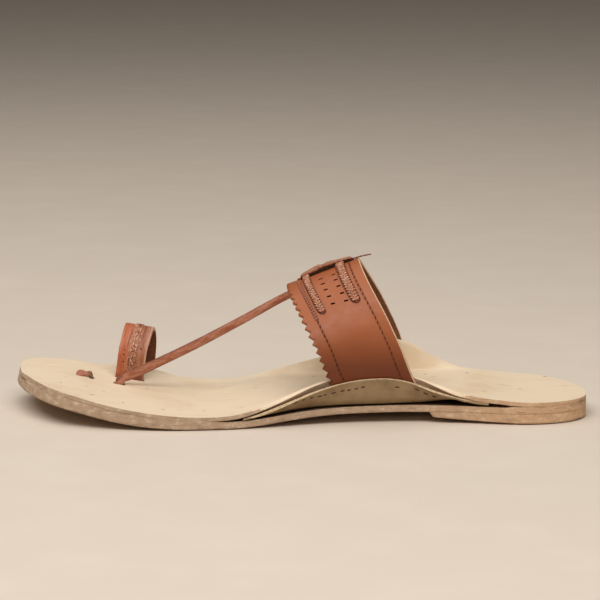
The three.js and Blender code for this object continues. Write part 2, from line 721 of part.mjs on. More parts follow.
// Strips laid over the band across the foot: their place across the band, and the share of the
// band's length at which their lower ends lie. The section is crowned.
const FRONT_BRAID = { u: 0.285, width: BRAID_FRONT_WIDTH, lowest: 0.292 };
const REAR_BRAID = { u: 0.745, width: BRAID_REAR_WIDTH, lowest: 0.305 };
const BRAID_SECTION = [
  { across: -0.5, height: 0.35 },
  { across: -0.25, height: 1 },
  { across: 0.25, height: 1 },
  { across: 0.5, height: 0.35 },
];
function makeBraid({ u, width, lowest }) {
  const steps = 22;
  const [outer, inner] = [[], []];
  for (let i = 0; i <= steps; i += 1) {
    const s = mix(lowest, 1 - lowest, i / steps);
    const share = ((i % steps === 0 ? 0.5 : 1) * width) / bandWidth;
    const place = (p, height) => overBand(u + p.across * share, s, CLEARANCE + height * BRAID_THICK);
    outer.push(BRAID_SECTION.map((p) => place(p, p.height)));
    inner.push(BRAID_SECTION.map((p) => place(p, 0)));
  }
  return sheet(outer, inner);
}

// Points of a rounded section: shares of its half width and half height, squarer at a lower power.
function roundedSection(sides, acrossPower, upPower) {
  const rounded = (value, power) => Math.sign(value) * Math.abs(value) ** power;
  return Array.from({ length: sides }, (_, k) => {
    const angle = (2 * Math.PI * (k + 0.5)) / sides;
    return { across: rounded(Math.cos(angle), acrossPower), up: rounded(Math.sin(angle), upPower) };
  });
}

// The lace over the crown: it lies on both braids, drops between them and ends in a thin tail.
// Its seat is the height of its underside over the band, as a share of its height on a braid.
const CREST_SECTIONS = [
  { along: 0.225, seat: 1, full: 0.5 },
  { along: 0.27, seat: 1, full: 0.9 },
  { along: 0.335, seat: 1.05, full: 1 },
  { along: 0.38, seat: 0.95, full: 1 },
  { along: 0.43, seat: 0.8, full: 1 },
  { along: 0.485, seat: 0.45, full: 1 },
  { along: 0.54, seat: 0.4, full: 0.95 },
  { along: 0.6, seat: 0.62, full: 0.95 },
  { along: 0.65, seat: 0.95, full: 1 },
  { along: 0.69, seat: 1, full: 1 },
  { along: 0.8, seat: 1, full: 1 },
  { along: 0.86, seat: 0.7, full: 0.95 },
  { along: 0.93, seat: 0.35, full: 0.7 },
];
const TAIL_SECTIONS = [
  { length: 0.15, lift: 0.1, full: 0.94 },
  { length: 0.6, lift: -0.3, full: 0.82 },
  { length: 1, lift: -0.7, full: 0.7 },
];
function makeCrest() {
  const section = roundedSection(10, 0.6, 0.8);
  const seat = CLEARANCE + BRAID_THICK + CLEARANCE;
  const ring = (u, lift, width, thick) => {
    const halfShare = width / slice(0.5).getLength() / 2;
    return section.map((p) => overBand(u, 0.5 + p.across * halfShare, lift + ((1 + p.up) * thick) / 2));
  };
  const lace = CREST_SECTIONS.map((row) =>
    ring(row.along, seat * row.seat, CREST_WIDTH * row.full, CREST_THICK));
  const tail = TAIL_SECTIONS.map((row) =>
    ring(1 + (TAIL_LENGTH * row.length) / bandWidth, row.lift, TAIL_WIDTH * row.full, TAIL_THICK));
  return tube([...lace, ...tail]);
}

// The toe loop's path from its slit over to the far edge of the insole: along the sole, from one
// foot to the other, across from its axis, and up from the seat to the top.
const LOOP_PATH = [
  { along: 0, across: 1, up: 0 },
  { along: 0, across: 1, up: 0.073 },
  { along: 0.23, across: 1.1, up: 0.366 },
  { along: 0.42, across: 1.06, up: 0.61 },
  { along: 0.84, across: 0.72, up: 0.883 },
  { along: 1.1, across: 0, up: 1 },
  { along: 1.25, across: -0.74, up: 0.883 },
  { along: 1.27, across: -1.06, up: 0.61 },
  { along: 1.12, across: -1.02, up: 0.305 },
  { along: 1, across: -1, up: 0.115 },
];
const RIB_SHARE = RIB_WIDTH / LOOP_WIDTH / 2;
const RIB_EDGE = 0.03;
const LOOP_SECTION = [
  { across: -0.5, rib: 0 },
  { across: -RIB_SHARE - RIB_EDGE, rib: 0 },
  { across: -RIB_SHARE, rib: 1 },
  { across: RIB_SHARE, rib: 1 },
  { across: RIB_SHARE + RIB_EDGE, rib: 0 },
  { across: 0.5, rib: 0 },
];

// The toe loop: down through its slit on one side, round the edge of the insole and under it on
// the other. Its feet follow the slope of the sole, and its top tilts up towards the toe.
function makeLoop() {
  const near = LENGTH - LOOP_NEAR_SETBACK;
  const far = LENGTH - LOOP_FAR_SETBACK;
  const seat = (a) => outsoleTop(a) + 1.5 * CLEARANCE + LOOP_THICK / 2;
  const edges = [-0.5, 0, 0.5].map((share) => edge(far + share * LOOP_WIDTH, MEDIAL));
  const outside = Math.min(...edges) - 2.5 * CLEARANCE - LOOP_THICK / 2;
  const axis = (LOOP_NEAR_SIDE + outside) / 2;
  const half = (LOOP_NEAR_SIDE - outside) / 2;
  const top = LOOP_TOP - LOOP_THICK / 2;
  const path = LOOP_PATH.map(({ along, across, up }) => {
    const a = mix(near, far, along);
    return at(a, axis + across * half, mix(mix(seat(near), seat(far), along), top, up));
  });
  path.push(at(far, outside, seat(far) + LOOP_THICK));
  path.push(at(far, outside + LOOP_THICK, seat(far)));
  path.push(at(far, outside + LOOP_TUCK, seat(far)));
  const curve = new THREE.CatmullRomCurve3(path, false, "centripetal");
  const steps = 36;
  const [outer, inner] = [[], []];
  for (let i = 0; i <= steps; i += 1) {
    const p = curve.getPointAt(i / steps);
    const normal = new THREE.Vector3(1, 0, 0).cross(curve.getTangentAt(i / steps)).normalize();
    const a = LENGTH / 2 - p.x;
    const footShare = 1 - 0.85 * smooth(p.z, 0.3 * LOOP_TOP, 0.67 * LOOP_TOP);
    const ribHeight = RIB_HEIGHT * smooth(p.z, insoleUnder(near) + INSOLE_THICK, LOOP_TOP / 2);
    const tilt = LOOP_TILT * smooth(p.z, LOOP_TOP / 2, LOOP_TOP);
    const place = (across, height) => {
      const shift = across * LOOP_WIDTH;
      const slope = (outsoleTop(a - shift) - outsoleTop(a)) * footShare - across * tilt;
      return new THREE.Vector3(p.x + shift, p.y, p.z + slope).addScaledVector(normal, height);
    };
    outer.push(LOOP_SECTION.map((q) => place(q.across, LOOP_THICK / 2 + q.rib * ribHeight)));
    inner.push(LOOP_SECTION.map((q) => place(q.across, -LOOP_THICK / 2)));
  }
  return sheet(outer, inner);
}

// A rounded strap along a curve: its height stands in the upright plane of the curve, and both
// sizes taper towards the end.
function strap(points, { width, height, taper, steps, sides }) {
  const curve = new THREE.CatmullRomCurve3(points, false, "centripetal");
  const section = roundedSection(sides, 0.7, 0.7);
  const rings = [];
  for (let i = 0; i <= steps; i += 1) {
    const t = i / steps;
    const along = curve.getTangentAt(t);
    const sideways = new THREE.Vector3(0, 1, 0).addScaledVector(along, -along.y).normalize();
    const up = along.clone().cross(sideways);
    const full = mix(1, taper, t) / 2;
    rings.push(section.map((p) => curve.getPointAt(t)
      .addScaledVector(sideways, p.across * full * width)
      .addScaledVector(up, p.up * full * height)));
  }
  return tube(rings);
}

// How far the thong sags below the straight line between its ends.
const THONG_SAG = [
  { along: 0.2, sag: 0.8 },
  { along: 0.45, sag: 1.2 },
  { along: 0.72, sag: 0.8 },
];

// The thong: from its slit up to the inside of the band's front edge, nearly straight.
function makeThong() {
  const foot = LENGTH - THONG_SETBACK;
  const under = BAND_THICK + CLEARANCE + (THONG_HEIGHT * THONG_TAPER) / 2;
  const surface = insoleUnder(foot) + INSOLE_THICK + bump(foot, THONG_SIDE);
  const start = at(foot, THONG_SIDE, outsoleTop(foot) + CLEARANCE);
  const bend = at(foot - 1, THONG_SIDE, surface + THONG_HEIGHT / 3);
  const rise = at(foot - THONG_HEIGHT, THONG_SIDE, surface + THONG_HEIGHT * 0.6);
  const top = overBand(-0.05, THONG_SHARE, -under - CLEARANCE);
  const end = overBand(0.14, THONG_SHARE, -under);
  const between = THONG_SAG.map(({ along, sag }) => {
    const point = rise.clone().lerp(top, along);
    return point.setZ(point.z - sag);
  });
  const points = [start, bend, rise, ...between, top, end];
  const [width, height, taper] = [THONG_WIDTH, THONG_HEIGHT, THONG_TAPER];
  return strap(points, { width, height, taper, steps: 26, sides: 8 });
}

// The thong's other end: it comes up through its own slit and is folded towards the toe.
function makeStrapEnd() {
  const foot = LENGTH - STRAP_END_SETBACK;
  const surface = insoleUnder(foot) + INSOLE_THICK + bump(foot, THONG_SIDE);
  const points = [
    at(foot, THONG_SIDE, outsoleTop(foot) + 2 * CLEARANCE),
    at(foot, THONG_SIDE, surface + STRAP_END_THICK / 3),
    at(foot + STRAP_END_LENGTH / 3, THONG_SIDE, surface + STRAP_END_THICK * 1.1),
    at(foot + STRAP_END_LENGTH, THONG_SIDE, surface + STRAP_END_THICK * 1.45),
  ];
  const [width, height] = [STRAP_END_WIDTH, STRAP_END_THICK];
  return strap(points, { width, height, taper: STRAP_END_TAPER, steps: 8, sides: 6 });
}

const leather = (name, color, roughness) =>
  new THREE.MeshStandardMaterial({ name, color, roughness, metalness: 0 });
const PALE = leather("pale_leather", 0xe0ca9f, 0.65);
const RAW = leather("raw_edge", 0xb08d68, 0.8);
const BROWN = leather("brown_leather", 0xa3542c, 0.42);
const BRAIDED = leather("braided_leather", 0xa9684a, 0.6);

const sandal = new THREE.Group();
sandal.name = "sandal";
function add(name, geometry, material) {
  const mesh = new THREE.Mesh(geometry, material.clone());
  mesh.name = name;
  sandal.add(mesh);
}

add("outsole", makeOutsole(), RAW);
add("heel_lift", makeHeelLift(), RAW);
add("insole", makeInsole(), PALE);
add("ear_lateral", makeEar(LATERAL), PALE);
add("ear_medial", makeEar(MEDIAL), PALE);
add("band", makeBand(), BROWN);
add("braid_front", makeBraid(FRONT_BRAID), BRAIDED);
add("braid_rear", makeBraid(REAR_BRAID), BRAIDED);
add("crest", makeCrest(), BRAIDED);
add("toe_loop", makeLoop(), BRAIDED);
add("thong", makeThong(), BRAIDED);
add("strap_end", makeStrapEnd(), BRAIDED);

const box = new THREE.Box3().setFromObject(sandal);
const middle = box.getCenter(new THREE.Vector3());
sandal.position.set(-middle.x, -middle.y, -box.min.z);

export default sandal;
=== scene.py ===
import math
import random

import bmesh
import bpy
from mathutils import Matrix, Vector
from mathutils.bvhtree import BVHTree


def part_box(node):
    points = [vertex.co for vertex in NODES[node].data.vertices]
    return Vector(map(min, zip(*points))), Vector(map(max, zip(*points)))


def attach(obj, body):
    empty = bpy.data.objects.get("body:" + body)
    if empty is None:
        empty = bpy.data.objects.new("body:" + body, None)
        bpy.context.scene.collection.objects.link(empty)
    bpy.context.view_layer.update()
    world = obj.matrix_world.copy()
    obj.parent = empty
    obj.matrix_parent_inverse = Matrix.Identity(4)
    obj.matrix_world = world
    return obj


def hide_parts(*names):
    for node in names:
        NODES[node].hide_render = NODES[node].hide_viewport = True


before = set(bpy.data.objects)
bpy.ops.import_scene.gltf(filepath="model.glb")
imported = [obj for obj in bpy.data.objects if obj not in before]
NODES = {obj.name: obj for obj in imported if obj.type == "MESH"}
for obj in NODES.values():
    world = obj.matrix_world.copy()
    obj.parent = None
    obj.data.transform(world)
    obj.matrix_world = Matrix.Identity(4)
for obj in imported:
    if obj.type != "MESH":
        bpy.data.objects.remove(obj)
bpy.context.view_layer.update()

MM = 0.001
LATERAL, MEDIAL = -1, 1
SEED = 7

# Camera: the photograph's eye level and distance, and the point it looks at.
CAMERA_TARGET = Vector((0.5, 1.45, 50.9)) * MM
CAMERA_DISTANCE = 1300 * MM
CAMERA_ELEVATION = math.radians(10.4)
CAMERA_LENS = 170.7
CAMERA_SENSOR = 36
CAMERA_REACH = 20

# Area lights: name, place and aim in metres, sides in metres, watts and colour.
LIGHTS = (
    ("overhead", (-0.25, -0.1, 1.1), (0, 0, 0), (1.9, 1.5), 11.5, (1, 0.97, 0.93)),
    ("front_high", (0, -1.0, 1.3), (0, 0, 0.03), (2, 0.6), 15.5, (1, 0.96, 0.9)),
    ("front_low", (0, -1.6, 0.6), (0, 0, 0.03), (1.8, 0.25), 1.4, (1, 0.96, 0.9)),
)
WORLD_COLOUR = (0.85, 0.79, 0.72, 1)
WORLD_STRENGTH = 0.12
FLOOR_SIZE = 6

# Faces that meet at more than this many degrees are shaded with an edge between them.
SHARP_ANGLE = 42

# How CAD nodes are refined: points this close are one, and triangles that meet at less than
# these angles are joined. Edges sharper than the last angle keep a crease.
MERGE = 0.01 * MM
JOIN_ANGLE = math.radians(25)
JOIN_SKEW = math.radians(60)
CREASE_ANGLE = math.radians(38)

# The fit between layers in the CAD model, and where along the sole they are glued down.
LAYER_GAP = 0.3 * MM
LIFT_BEVEL = 0.5 * MM
GLUED_TOE = -35 * MM
GLUED_HEEL = 95 * MM
GLUE_RAMP = 3 * MM
LIP_SHARE = 0.9

# Between these places along the sole the insole's edges are turned up.
FLANGE_TOE = -28 * MM
FLANGE_HEEL = 84 * MM

# The rear tip of each ear is pared thin and lies up against the insole.
EAR_TAIL_STARTS = 52 * MM
EAR_TAIL_FULL = 72 * MM
EAR_TAIL_LIFT = 0.35 * MM
EAR_TAIL_PARING = 1.1 * MM

# The band: each slice across the foot leans back from the toe as it rises.
BAND_LEAN = 0.525
BAND_REAR = 64.3 * MM
BAND_REACH = 40.5 * MM
BAND_WIDTH = BAND_REACH * math.cos(math.atan(BAND_LEAN))
BAND_SKEW = 0.9 * MM
BAND_NARROWING = 2.8 * MM
BAND_HEIGHT = 70.3 * MM
BAND_BOW_FRONT = 1.9 * MM
BAND_BOW_REAR = 1.25 * MM
BOW_RISES = (20 * MM, 37 * MM)
BOW_FALLS = (46 * MM, 66 * MM)
BAND_THICK = 2 * MM
BAND_AXIS = Vector((1.5, 30)) * MM
BAND_HALF = 33 * MM
FOOT_ANGLE = math.radians(29)

# Rays that read the band's face: how many a slice, their first guess and start from its axis, how
# often the points found are smoothed, and the slices' shares across the band, clear of its cuts.
RAYS = 240
RAY_GUESS = 35 * MM
RAY_START = 90 * MM
SMOOTHINGS = 6
CLEAR_SHARES = (0.06, 0.14, 0.3, 0.4, 0.53, 0.58, 0.7, 0.86, 0.97)

# The band's teeth, the rounding of its edges, and its two rows of slots on each side of the crown.
TOOTH_PITCH = 4.3 * MM
TOOTH_DEPTH = 1.7 * MM
TOOTH_COLUMNS = 8
TOOTH_FADES = 4 * MM
BAND_CORNER = 0.3 * MM
SLOT_ROWS = (0.46, 0.63)
SLOT_SHARES = (0.315, 0.345, 0.375, 0.405, 0.435)
SLOT_SIZE = Vector((2, 0.9, 6)) * MM
SLOT_OUTLINE = ((-1, 0.5), (-0.8, 1), (0.8, 1), (1, 0.5), (1, -0.5), (0.8, -1), (-0.8, -1), (-1, -0.5))

# The crest: a lace laid over the crown from braid to braid, in two folds with a pinch between.
# Share across the band, height over its outer face, half width and half thickness in mm.
CREST = (
    (0.21, 0.9, 0.7, 0.3), (0.235, 1.6, 1.4, 0.75), (0.29, 1.95, 1.6, 0.9), (0.35, 1.95, 1.7, 1.15),
    (0.44, 2.2, 1.8, 1.4), (0.49, 2.45, 1.7, 1.3), (0.53, 2.3, 1.2, 0.85), (0.57, 2.35, 1.3, 1.0),
    (0.61, 2.4, 1.7, 1.2), (0.7, 2.15, 1.7, 0.9), (0.78, 1.85, 1.6, 0.8), (0.86, 1.65, 1.5, 0.75),
    (0.9, 1.3, 1.1, 0.8), (0.925, 0.9, 0.5, 0.5),
)
CREST_ALONG = 0.5

# Rows of the near-black sheet of painted shadow under the crest and of its tail: share across the band,
# and height in mm over its outer face. Then their half widths and the tail's half thickness in mm.
CREST_UNDER = ((0.225, 0.9), (0.35, 1.1), (0.45, 1.1), (0.53, 1.5), (0.6, 1.3), (0.7, 1.3), (0.92, 0.9))
TAIL = ((0.8, 1.3), (0.88, 0.9), (0.95, 0.6), (1.05, 0.35), (1.17, -0.3))
SHADOW_SHEET_HALF = 1.1
TAIL_HALF = 0.5
TAIL_THICK = 0.34

# Past this share across the band a lace goes on straight. Laces are drawn with so many steps
# between two rows and so many sides.
BAND_LAST = 0.95
LACE_STEPS = 4
LACE_SIDES = 10

# Two points on the thong and on the loop's near leg, and pinholes there by x and height.
THONG_RUN = ((-81, 6.5, 20), (-14, 6.5, 54))
LOOP_RUN = ((-78.2, 20, 9), (-73.8, 20, 33))
PINHOLES = (
    (-80.9, 24), (-81.3, 22), (-76.5, 25.8), (-77.1, 23.4), (-79, 20.2), (-77.3, 20.9), (-81.6, 18.5),
    (-79.2, 16.7), (-78.1, 17.1), (-73.4, 24.4), (-75.9, 29), (-75.2, 31.5),
)
PINHOLE = 0.32 * MM
STRAP_STEP = 2 * MM

# The strap end's tab: mm towards the toe, height, half width, half thickness and turn.
TAB_FOOT = 0.8 * MM
TAB_DROP = 2.6 * MM
TAB = (
    (-0.3, -1.4, 1.4, 0.5, 30), (0, 0.1, 1.7, 0.6, 30), (0.9, 0.9, 1.8, 0.65, 34), (2, 0.8, 1.5, 0.6, 40),
    (3, 0.8, 1.2, 0.6, 42), (4, 1, 1.9, 0.65, 36), (5.2, 1.1, 2.4, 0.6, 34), (6.5, 1.1, 2.1, 0.55, 30),
    (7.5, 0.9, 1, 0.35, 28),
)

# Sewing on the band: shares across it, and shares along it where the covered seam begins, where
# the thread starts and stops, and where the crown lies free of it. Then the stitches themselves.
FRONT_SEAM = 0.18
REAR_SEAM = 0.86
SEAM_END = 0.268
SEWN = (0.02, 0.98)
CROWN = (0.478, 0.522)
STITCH_PITCH = 2.4 * MM
STITCH_LENGTH = 1.8 * MM
STITCH_RADIUS = 0.27 * MM
STITCH_SEAT = 0.02 * MM
STITCH_TILT = 14
STITCH_WANDER = 6

# Rods, for stitches and laces: how many sides they have, where along them a stitch is drawn, the
# share of its half length that is straight, the span of its rounding, and its end's least size.
ROD_SIDES = 8
ROD_SHARES = (-1, -0.93, -0.75, -0.4, 0.4, 0.75, 0.93, 1)
ROD_STRAIGHT = 0.4
ROD_ROUND = 0.62
ROD_TIP = 0.02

# The covered seam: its strip's section in widths and mm, and the slanting stitches that bind it.
SEAM_WIDTH = 1.7 * MM
SEAM_SECTION = ((-0.5, 0.02), (-0.42, 0.3), (-0.15, 0.42), (0.15, 0.42), (0.42, 0.3), (0.5, 0.02))
SEAM_STEPS = 60
BINDING_PITCH = 1.5 * MM
BINDING_SLANT = 0.55
BINDING_SEAT = 0.4 * MM
BINDING_RADIUS = 0.3 * MM

# Plaits over the band: share across, width, and the share along at which their lower ends lie.
FRONT_PLAIT = {"u": 0.285, "width": 3.8 * MM, "lowest": 0.292}
REAR_PLAIT = {"u": 0.745, "width": 4.5 * MM, "lowest": 0.305}
PLAIT_PITCH = 4.6 * MM
PLAIT_SEAT = 0.3 * MM

# Each lace of a plait: steps a turn, taper at the ends, sideways swing and half width as shares of
# the plait's half width, height, rise and fall, and half thickness.
PLAIT_STEPS = 14
PLAIT_TAPER = 1.4 * MM
PLAIT_SWING = 0.62
PLAIT_LACE = 0.36
PLAIT_LIFT = 0.75 * MM
PLAIT_WEAVE = 0.28 * MM
PLAIT_THICK = 0.34 * MM

# The strip under a plait: its section in half widths and mm, and how far it reaches past the plait.
BACKING_SECTION = (
    (-1, 0), (-1, 0.45), (-0.9, 0.62), (-0.8, 0.5), (0.8, 0.5), (0.9, 0.62), (1, 0.45), (1, 0),
)
BACKING_MARGIN = 0.006
BACKING_STEPS = 90
BACKING_SEAT = 0.6

# Stitches on the ears' outer faces: places along the sole and heights of the row, and its gaps.
EAR_ROW = ((-5, 10.8), (5, 12.7), (14, 14.3), (22, 16), (30, 17.2), (43, 17), (52, 16.2), (59, 13))
EAR_GAPS = ((32, 41), (45, 51))

# An ear's stitches: lengths, steps between them, unevenness and radius.
EAR_STITCH = (1.4, 2.8)
EAR_STEP = (0.8, 2.2)
EAR_WANDER = 0.25
EAR_RADIUS = 0.3 * MM

# Small scars on the insole: place, length and width in mm, and turn in degrees.
SCARS = (
    (-106.8, -1.3, 1.2, 0.7, 30), (-108, -14.3, 1.2, 0.9, -20), (-96.4, -11.5, 1.6, 0.7, 0),
    (-93.1, -26.3, 2.6, 0.9, 20), (-88.5, -14.5, 1.5, 0.6, 20), (-78.8, -29.7, 1.1, 1.1, 0),
    (-60.7, -32, 2.6, 0.9, -20), (-42.7, -29.6, 2, 0.8, 0), (-25.6, -25.6, 3, 0.6, 10),
    (115.1, 25.2, 2, 1.6, 40), (78.6, 25, 1.8, 1.2, -30), (58.8, 20.2, 2.6, 0.7, -50),
    (62.2, 13.5, 3.4, 0.6, 0), (94.9, 3.4, 8, 0.5, -12), (101.3, -2.8, 2.4, 0.9, -30),
    (7, 20.7, 2.2, 1, -20), (122.6, 4.1, 2, 0.6, 0), (-70, 8, 2.4, 0.5, 60), (20, -6, 3, 0.5, 15),
    (-20, 12, 2.4, 0.5, -35), (84, -14, 2.8, 0.5, 40), (40, 8, 2, 0.6, -10),
)

# Leather colours, linear.
PALE = (0.87, 0.71, 0.52)
PALE_TAN = (0.74, 0.55, 0.36)
FLESH = (0.225, 0.14, 0.07)
FLESH_LIGHT = (0.33, 0.225, 0.12)
RAW = (0.56, 0.40, 0.275)
RAW_ORANGE = (0.70, 0.45, 0.27)
RAW_PINK = (0.42, 0.27, 0.185)
RAW_DARK = (0.20, 0.12, 0.065)
BROWN = (0.37, 0.105, 0.036)
BROWN_LIGHT = (0.40, 0.125, 0.046)
# Painted shade for the band's lower legs.
BROWN_PAINTED_SHADE = (0.17, 0.04, 0.012)
BROWN_DARK = (0.12, 0.03, 0.012)
PINK = (0.40, 0.15, 0.08)
PINK_LIGHT = (0.62, 0.33, 0.22)
LACE_DARK = (0.17, 0.045, 0.02)
WORN = (0.70, 0.43, 0.30)
TAB_PINK = (0.40, 0.15, 0.085)
TAB_BROWN = (0.22, 0.105, 0.05)
THREAD = (0.045, 0.014, 0.007)
SCAR = (0.15, 0.065, 0.03)
LOOP_ORANGE = (0.50, 0.135, 0.055)
THONG_DARK = (0.30, 0.085, 0.035)
THONG_RUBBED = (0.48, 0.20, 0.125)
LACE_BROWN = (0.32, 0.13, 0.07)
FLOOR = (0.72, 0.63, 0.54)
FLOOR_LIGHT = (0.74, 0.65, 0.56)

# Plain leathers: base colour, second colour, roughness, and size and depth of the grain in mm.
PLAIN = {
    "rim": ((0.66, 0.50, 0.31), (0.46, 0.32, 0.18), 0.8, 1.2, 0.2),
    "band_edge": ((0.72, 0.50, 0.32), (0.55, 0.33, 0.18), 0.7, 0.8, 0.12),
    # The band's inner faces: its flesh side, made darker with painted shade.
    "band_inner_shaded": ((0.20, 0.075, 0.03), (0.12, 0.04, 0.016), 0.8, 0.8, 0.12),
    # Painted shade: the outsole's upper face in the gap under the insole, between the glued ends.
    "painted_gap_shade": ((0.10, 0.06, 0.035), (0.16, 0.10, 0.06), 0.9, 3, 0.2),
    # The loop's inward faces: its flesh side, made darker with painted shade.
    "loop_inner_shaded": ((0.13, 0.035, 0.014), (0.22, 0.07, 0.03), 0.75, 1.5, 0.12),
    "tail": ((0.16, 0.05, 0.025), (0.30, 0.12, 0.07), 0.6, 0.8, 0.12),
    # Painted shadow: near-black, for the sheet under the crest's lace and the walls of the slots and
    # pinholes.
    "painted_shadow": ((0.02, 0.007, 0.003), (0.04, 0.014, 0.006), 0.8, 0.8, 0.12),
    "seam": ((0.13, 0.036, 0.016), (0.22, 0.07, 0.03), 0.5, 0.5, 0.08),
    "binding": ((0.38, 0.12, 0.055), (0.50, 0.20, 0.12), 0.5, 0.6, 0.1),
    "thread": (THREAD, (0.09, 0.03, 0.015), 0.7, 0.3, 0.05),
}


def mix(low, high, share):
    return low + (high - low) * share


def smooth(value, low, high):
    """0 below low, 1 above high, and an even curve between them."""
    t = min(max((value - low) / (high - low), 0), 1)
    return t * t * (3 - 2 * t)


# Meshes

def piece(name, mesh, materials, nodes=()):
    """A new object that rides on the sandal, takes the given materials and stands for CAD nodes, which it
    hides.
    """
    obj = bpy.data.objects.new(name, mesh)
    bpy.context.scene.collection.objects.link(obj)
    for material in materials:
        mesh.materials.append(material)
    mesh.polygons.foreach_set("use_smooth", [True] * len(mesh.polygons))
    mesh.set_sharp_from_angle(angle=math.radians(SHARP_ANGLE))
    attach(obj, "root")
    if nodes:
        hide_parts(*nodes)
    return obj


def surface(node):
    """The CAD node's surface, for rays."""
    bm = bmesh.new()
    bm.from_mesh(NODES[node].data)
    tree = BVHTree.FromBMesh(bm)
    bm.free()
    return tree


def applied(mesh, kind, **settings):
    """The mesh with one modifier applied."""
    carrier = bpy.data.objects.new("carrier", mesh)
    bpy.context.scene.collection.objects.link(carrier)
    modifier = carrier.modifiers.new("shape", kind)
    for key, value in settings.items():
        setattr(modifier, key, value)
    done = bpy.data.meshes.new_from_object(carrier.evaluated_get(bpy.context.evaluated_depsgraph_get()))
    bpy.data.objects.remove(carrier)
    return done


def cut_out(mesh, cutters, dark):
    """The mesh with the closed cutters taken out of it, and the dark material, a painted shade, on the
    walls of the cuts.
    """
    tool = joined(cutters)
    tool.materials.append(dark)
    cutter = bpy.data.objects.new("cutter", tool)
    bpy.context.scene.collection.objects.link(cutter)
    settings = {"object": cutter, "operation": "DIFFERENCE", "solver": "EXACT", "material_mode": "TRANSFER"}
    cut = applied(mesh, "BOOLEAN", **settings)
    bpy.data.objects.remove(cutter)
    return cut


def refined(node, levels=2, crease=0.8):
    """A smooth mesh of a CAD node, subdivided, with its sharp edges kept but slightly rounded."""
    bm = bmesh.new()
    bm.from_mesh(NODES[node].data)
    bmesh.ops.remove_doubles(bm, verts=bm.verts, dist=MERGE)
    limit = {"angle_face_threshold": JOIN_ANGLE, "angle_shape_threshold": JOIN_SKEW}
    bmesh.ops.join_triangles(bm, faces=bm.faces, **limit)
    layer = bm.edges.layers.float.new("crease_edge")
    for edge in bm.edges:
        if edge.is_manifold and edge.calc_face_angle(0) > CREASE_ANGLE:
            edge[layer] = crease
    mesh = bpy.data.meshes.new(node)
    bm.to_mesh(mesh)
    bm.free()
    return applied(mesh, "SUBSURF", levels=levels)


def loft(rings):
    """A closed mesh through rings of points, with a cap at each end."""
    count = len(rings[0])
    verts = [point for ring in rings for point in ring]
    faces = []
    for i in range(len(rings) - 1):
        for j in range(count):
            k = (j + 1) % count
            faces.append((i * count + j, i * count + k, (i + 1) * count + k, (i + 1) * count + j))
    faces.append(tuple(reversed(range(count))))
    faces.append(tuple(range((len(rings) - 1) * count, len(rings) * count)))
    mesh = bpy.data.meshes.new("loft")
    mesh.from_pydata(verts, [], faces)
    return mesh


def outward(mesh):
    """Turns the faces of each closed body outwards."""
    bm = bmesh.new()
    bm.from_mesh(mesh)
    bmesh.ops.recalc_face_normals(bm, faces=bm.faces)
    bm.to_mesh(mesh)
    bm.free()
    return mesh


def joined(meshes):
    """One mesh that holds all the given ones."""
    bm = bmesh.new()
    for mesh in meshes:
        bm.from_mesh(mesh)
    whole = bpy.data.meshes.new("joined")
    bm.to_mesh(whole)
    bm.free()
    return outward(whole)


def capsule(centre, along, sideways, up, length, radius, squash=0.8):
    """One stitch: a rounded rod along a direction, a little flattened against the leather."""
    rings = []
    for share in ROD_SHARES:
        bend = max(abs(share) - ROD_STRAIGHT, 0) / ROD_ROUND
        full = radius * math.sqrt(max(1 - bend ** 2, ROD_TIP))
        middle = centre + along * (share * length / 2)
        ring = []
        for k in range(ROD_SIDES):
            angle = 2 * math.pi * k / ROD_SIDES
            rise = up * (math.sin(angle) * full * squash)
            ring.append(middle + sideways * (math.cos(angle) * full) + rise)
        rings.append(ring)
    return loft(rings)


# The band's surface, read from the CAD node by rays

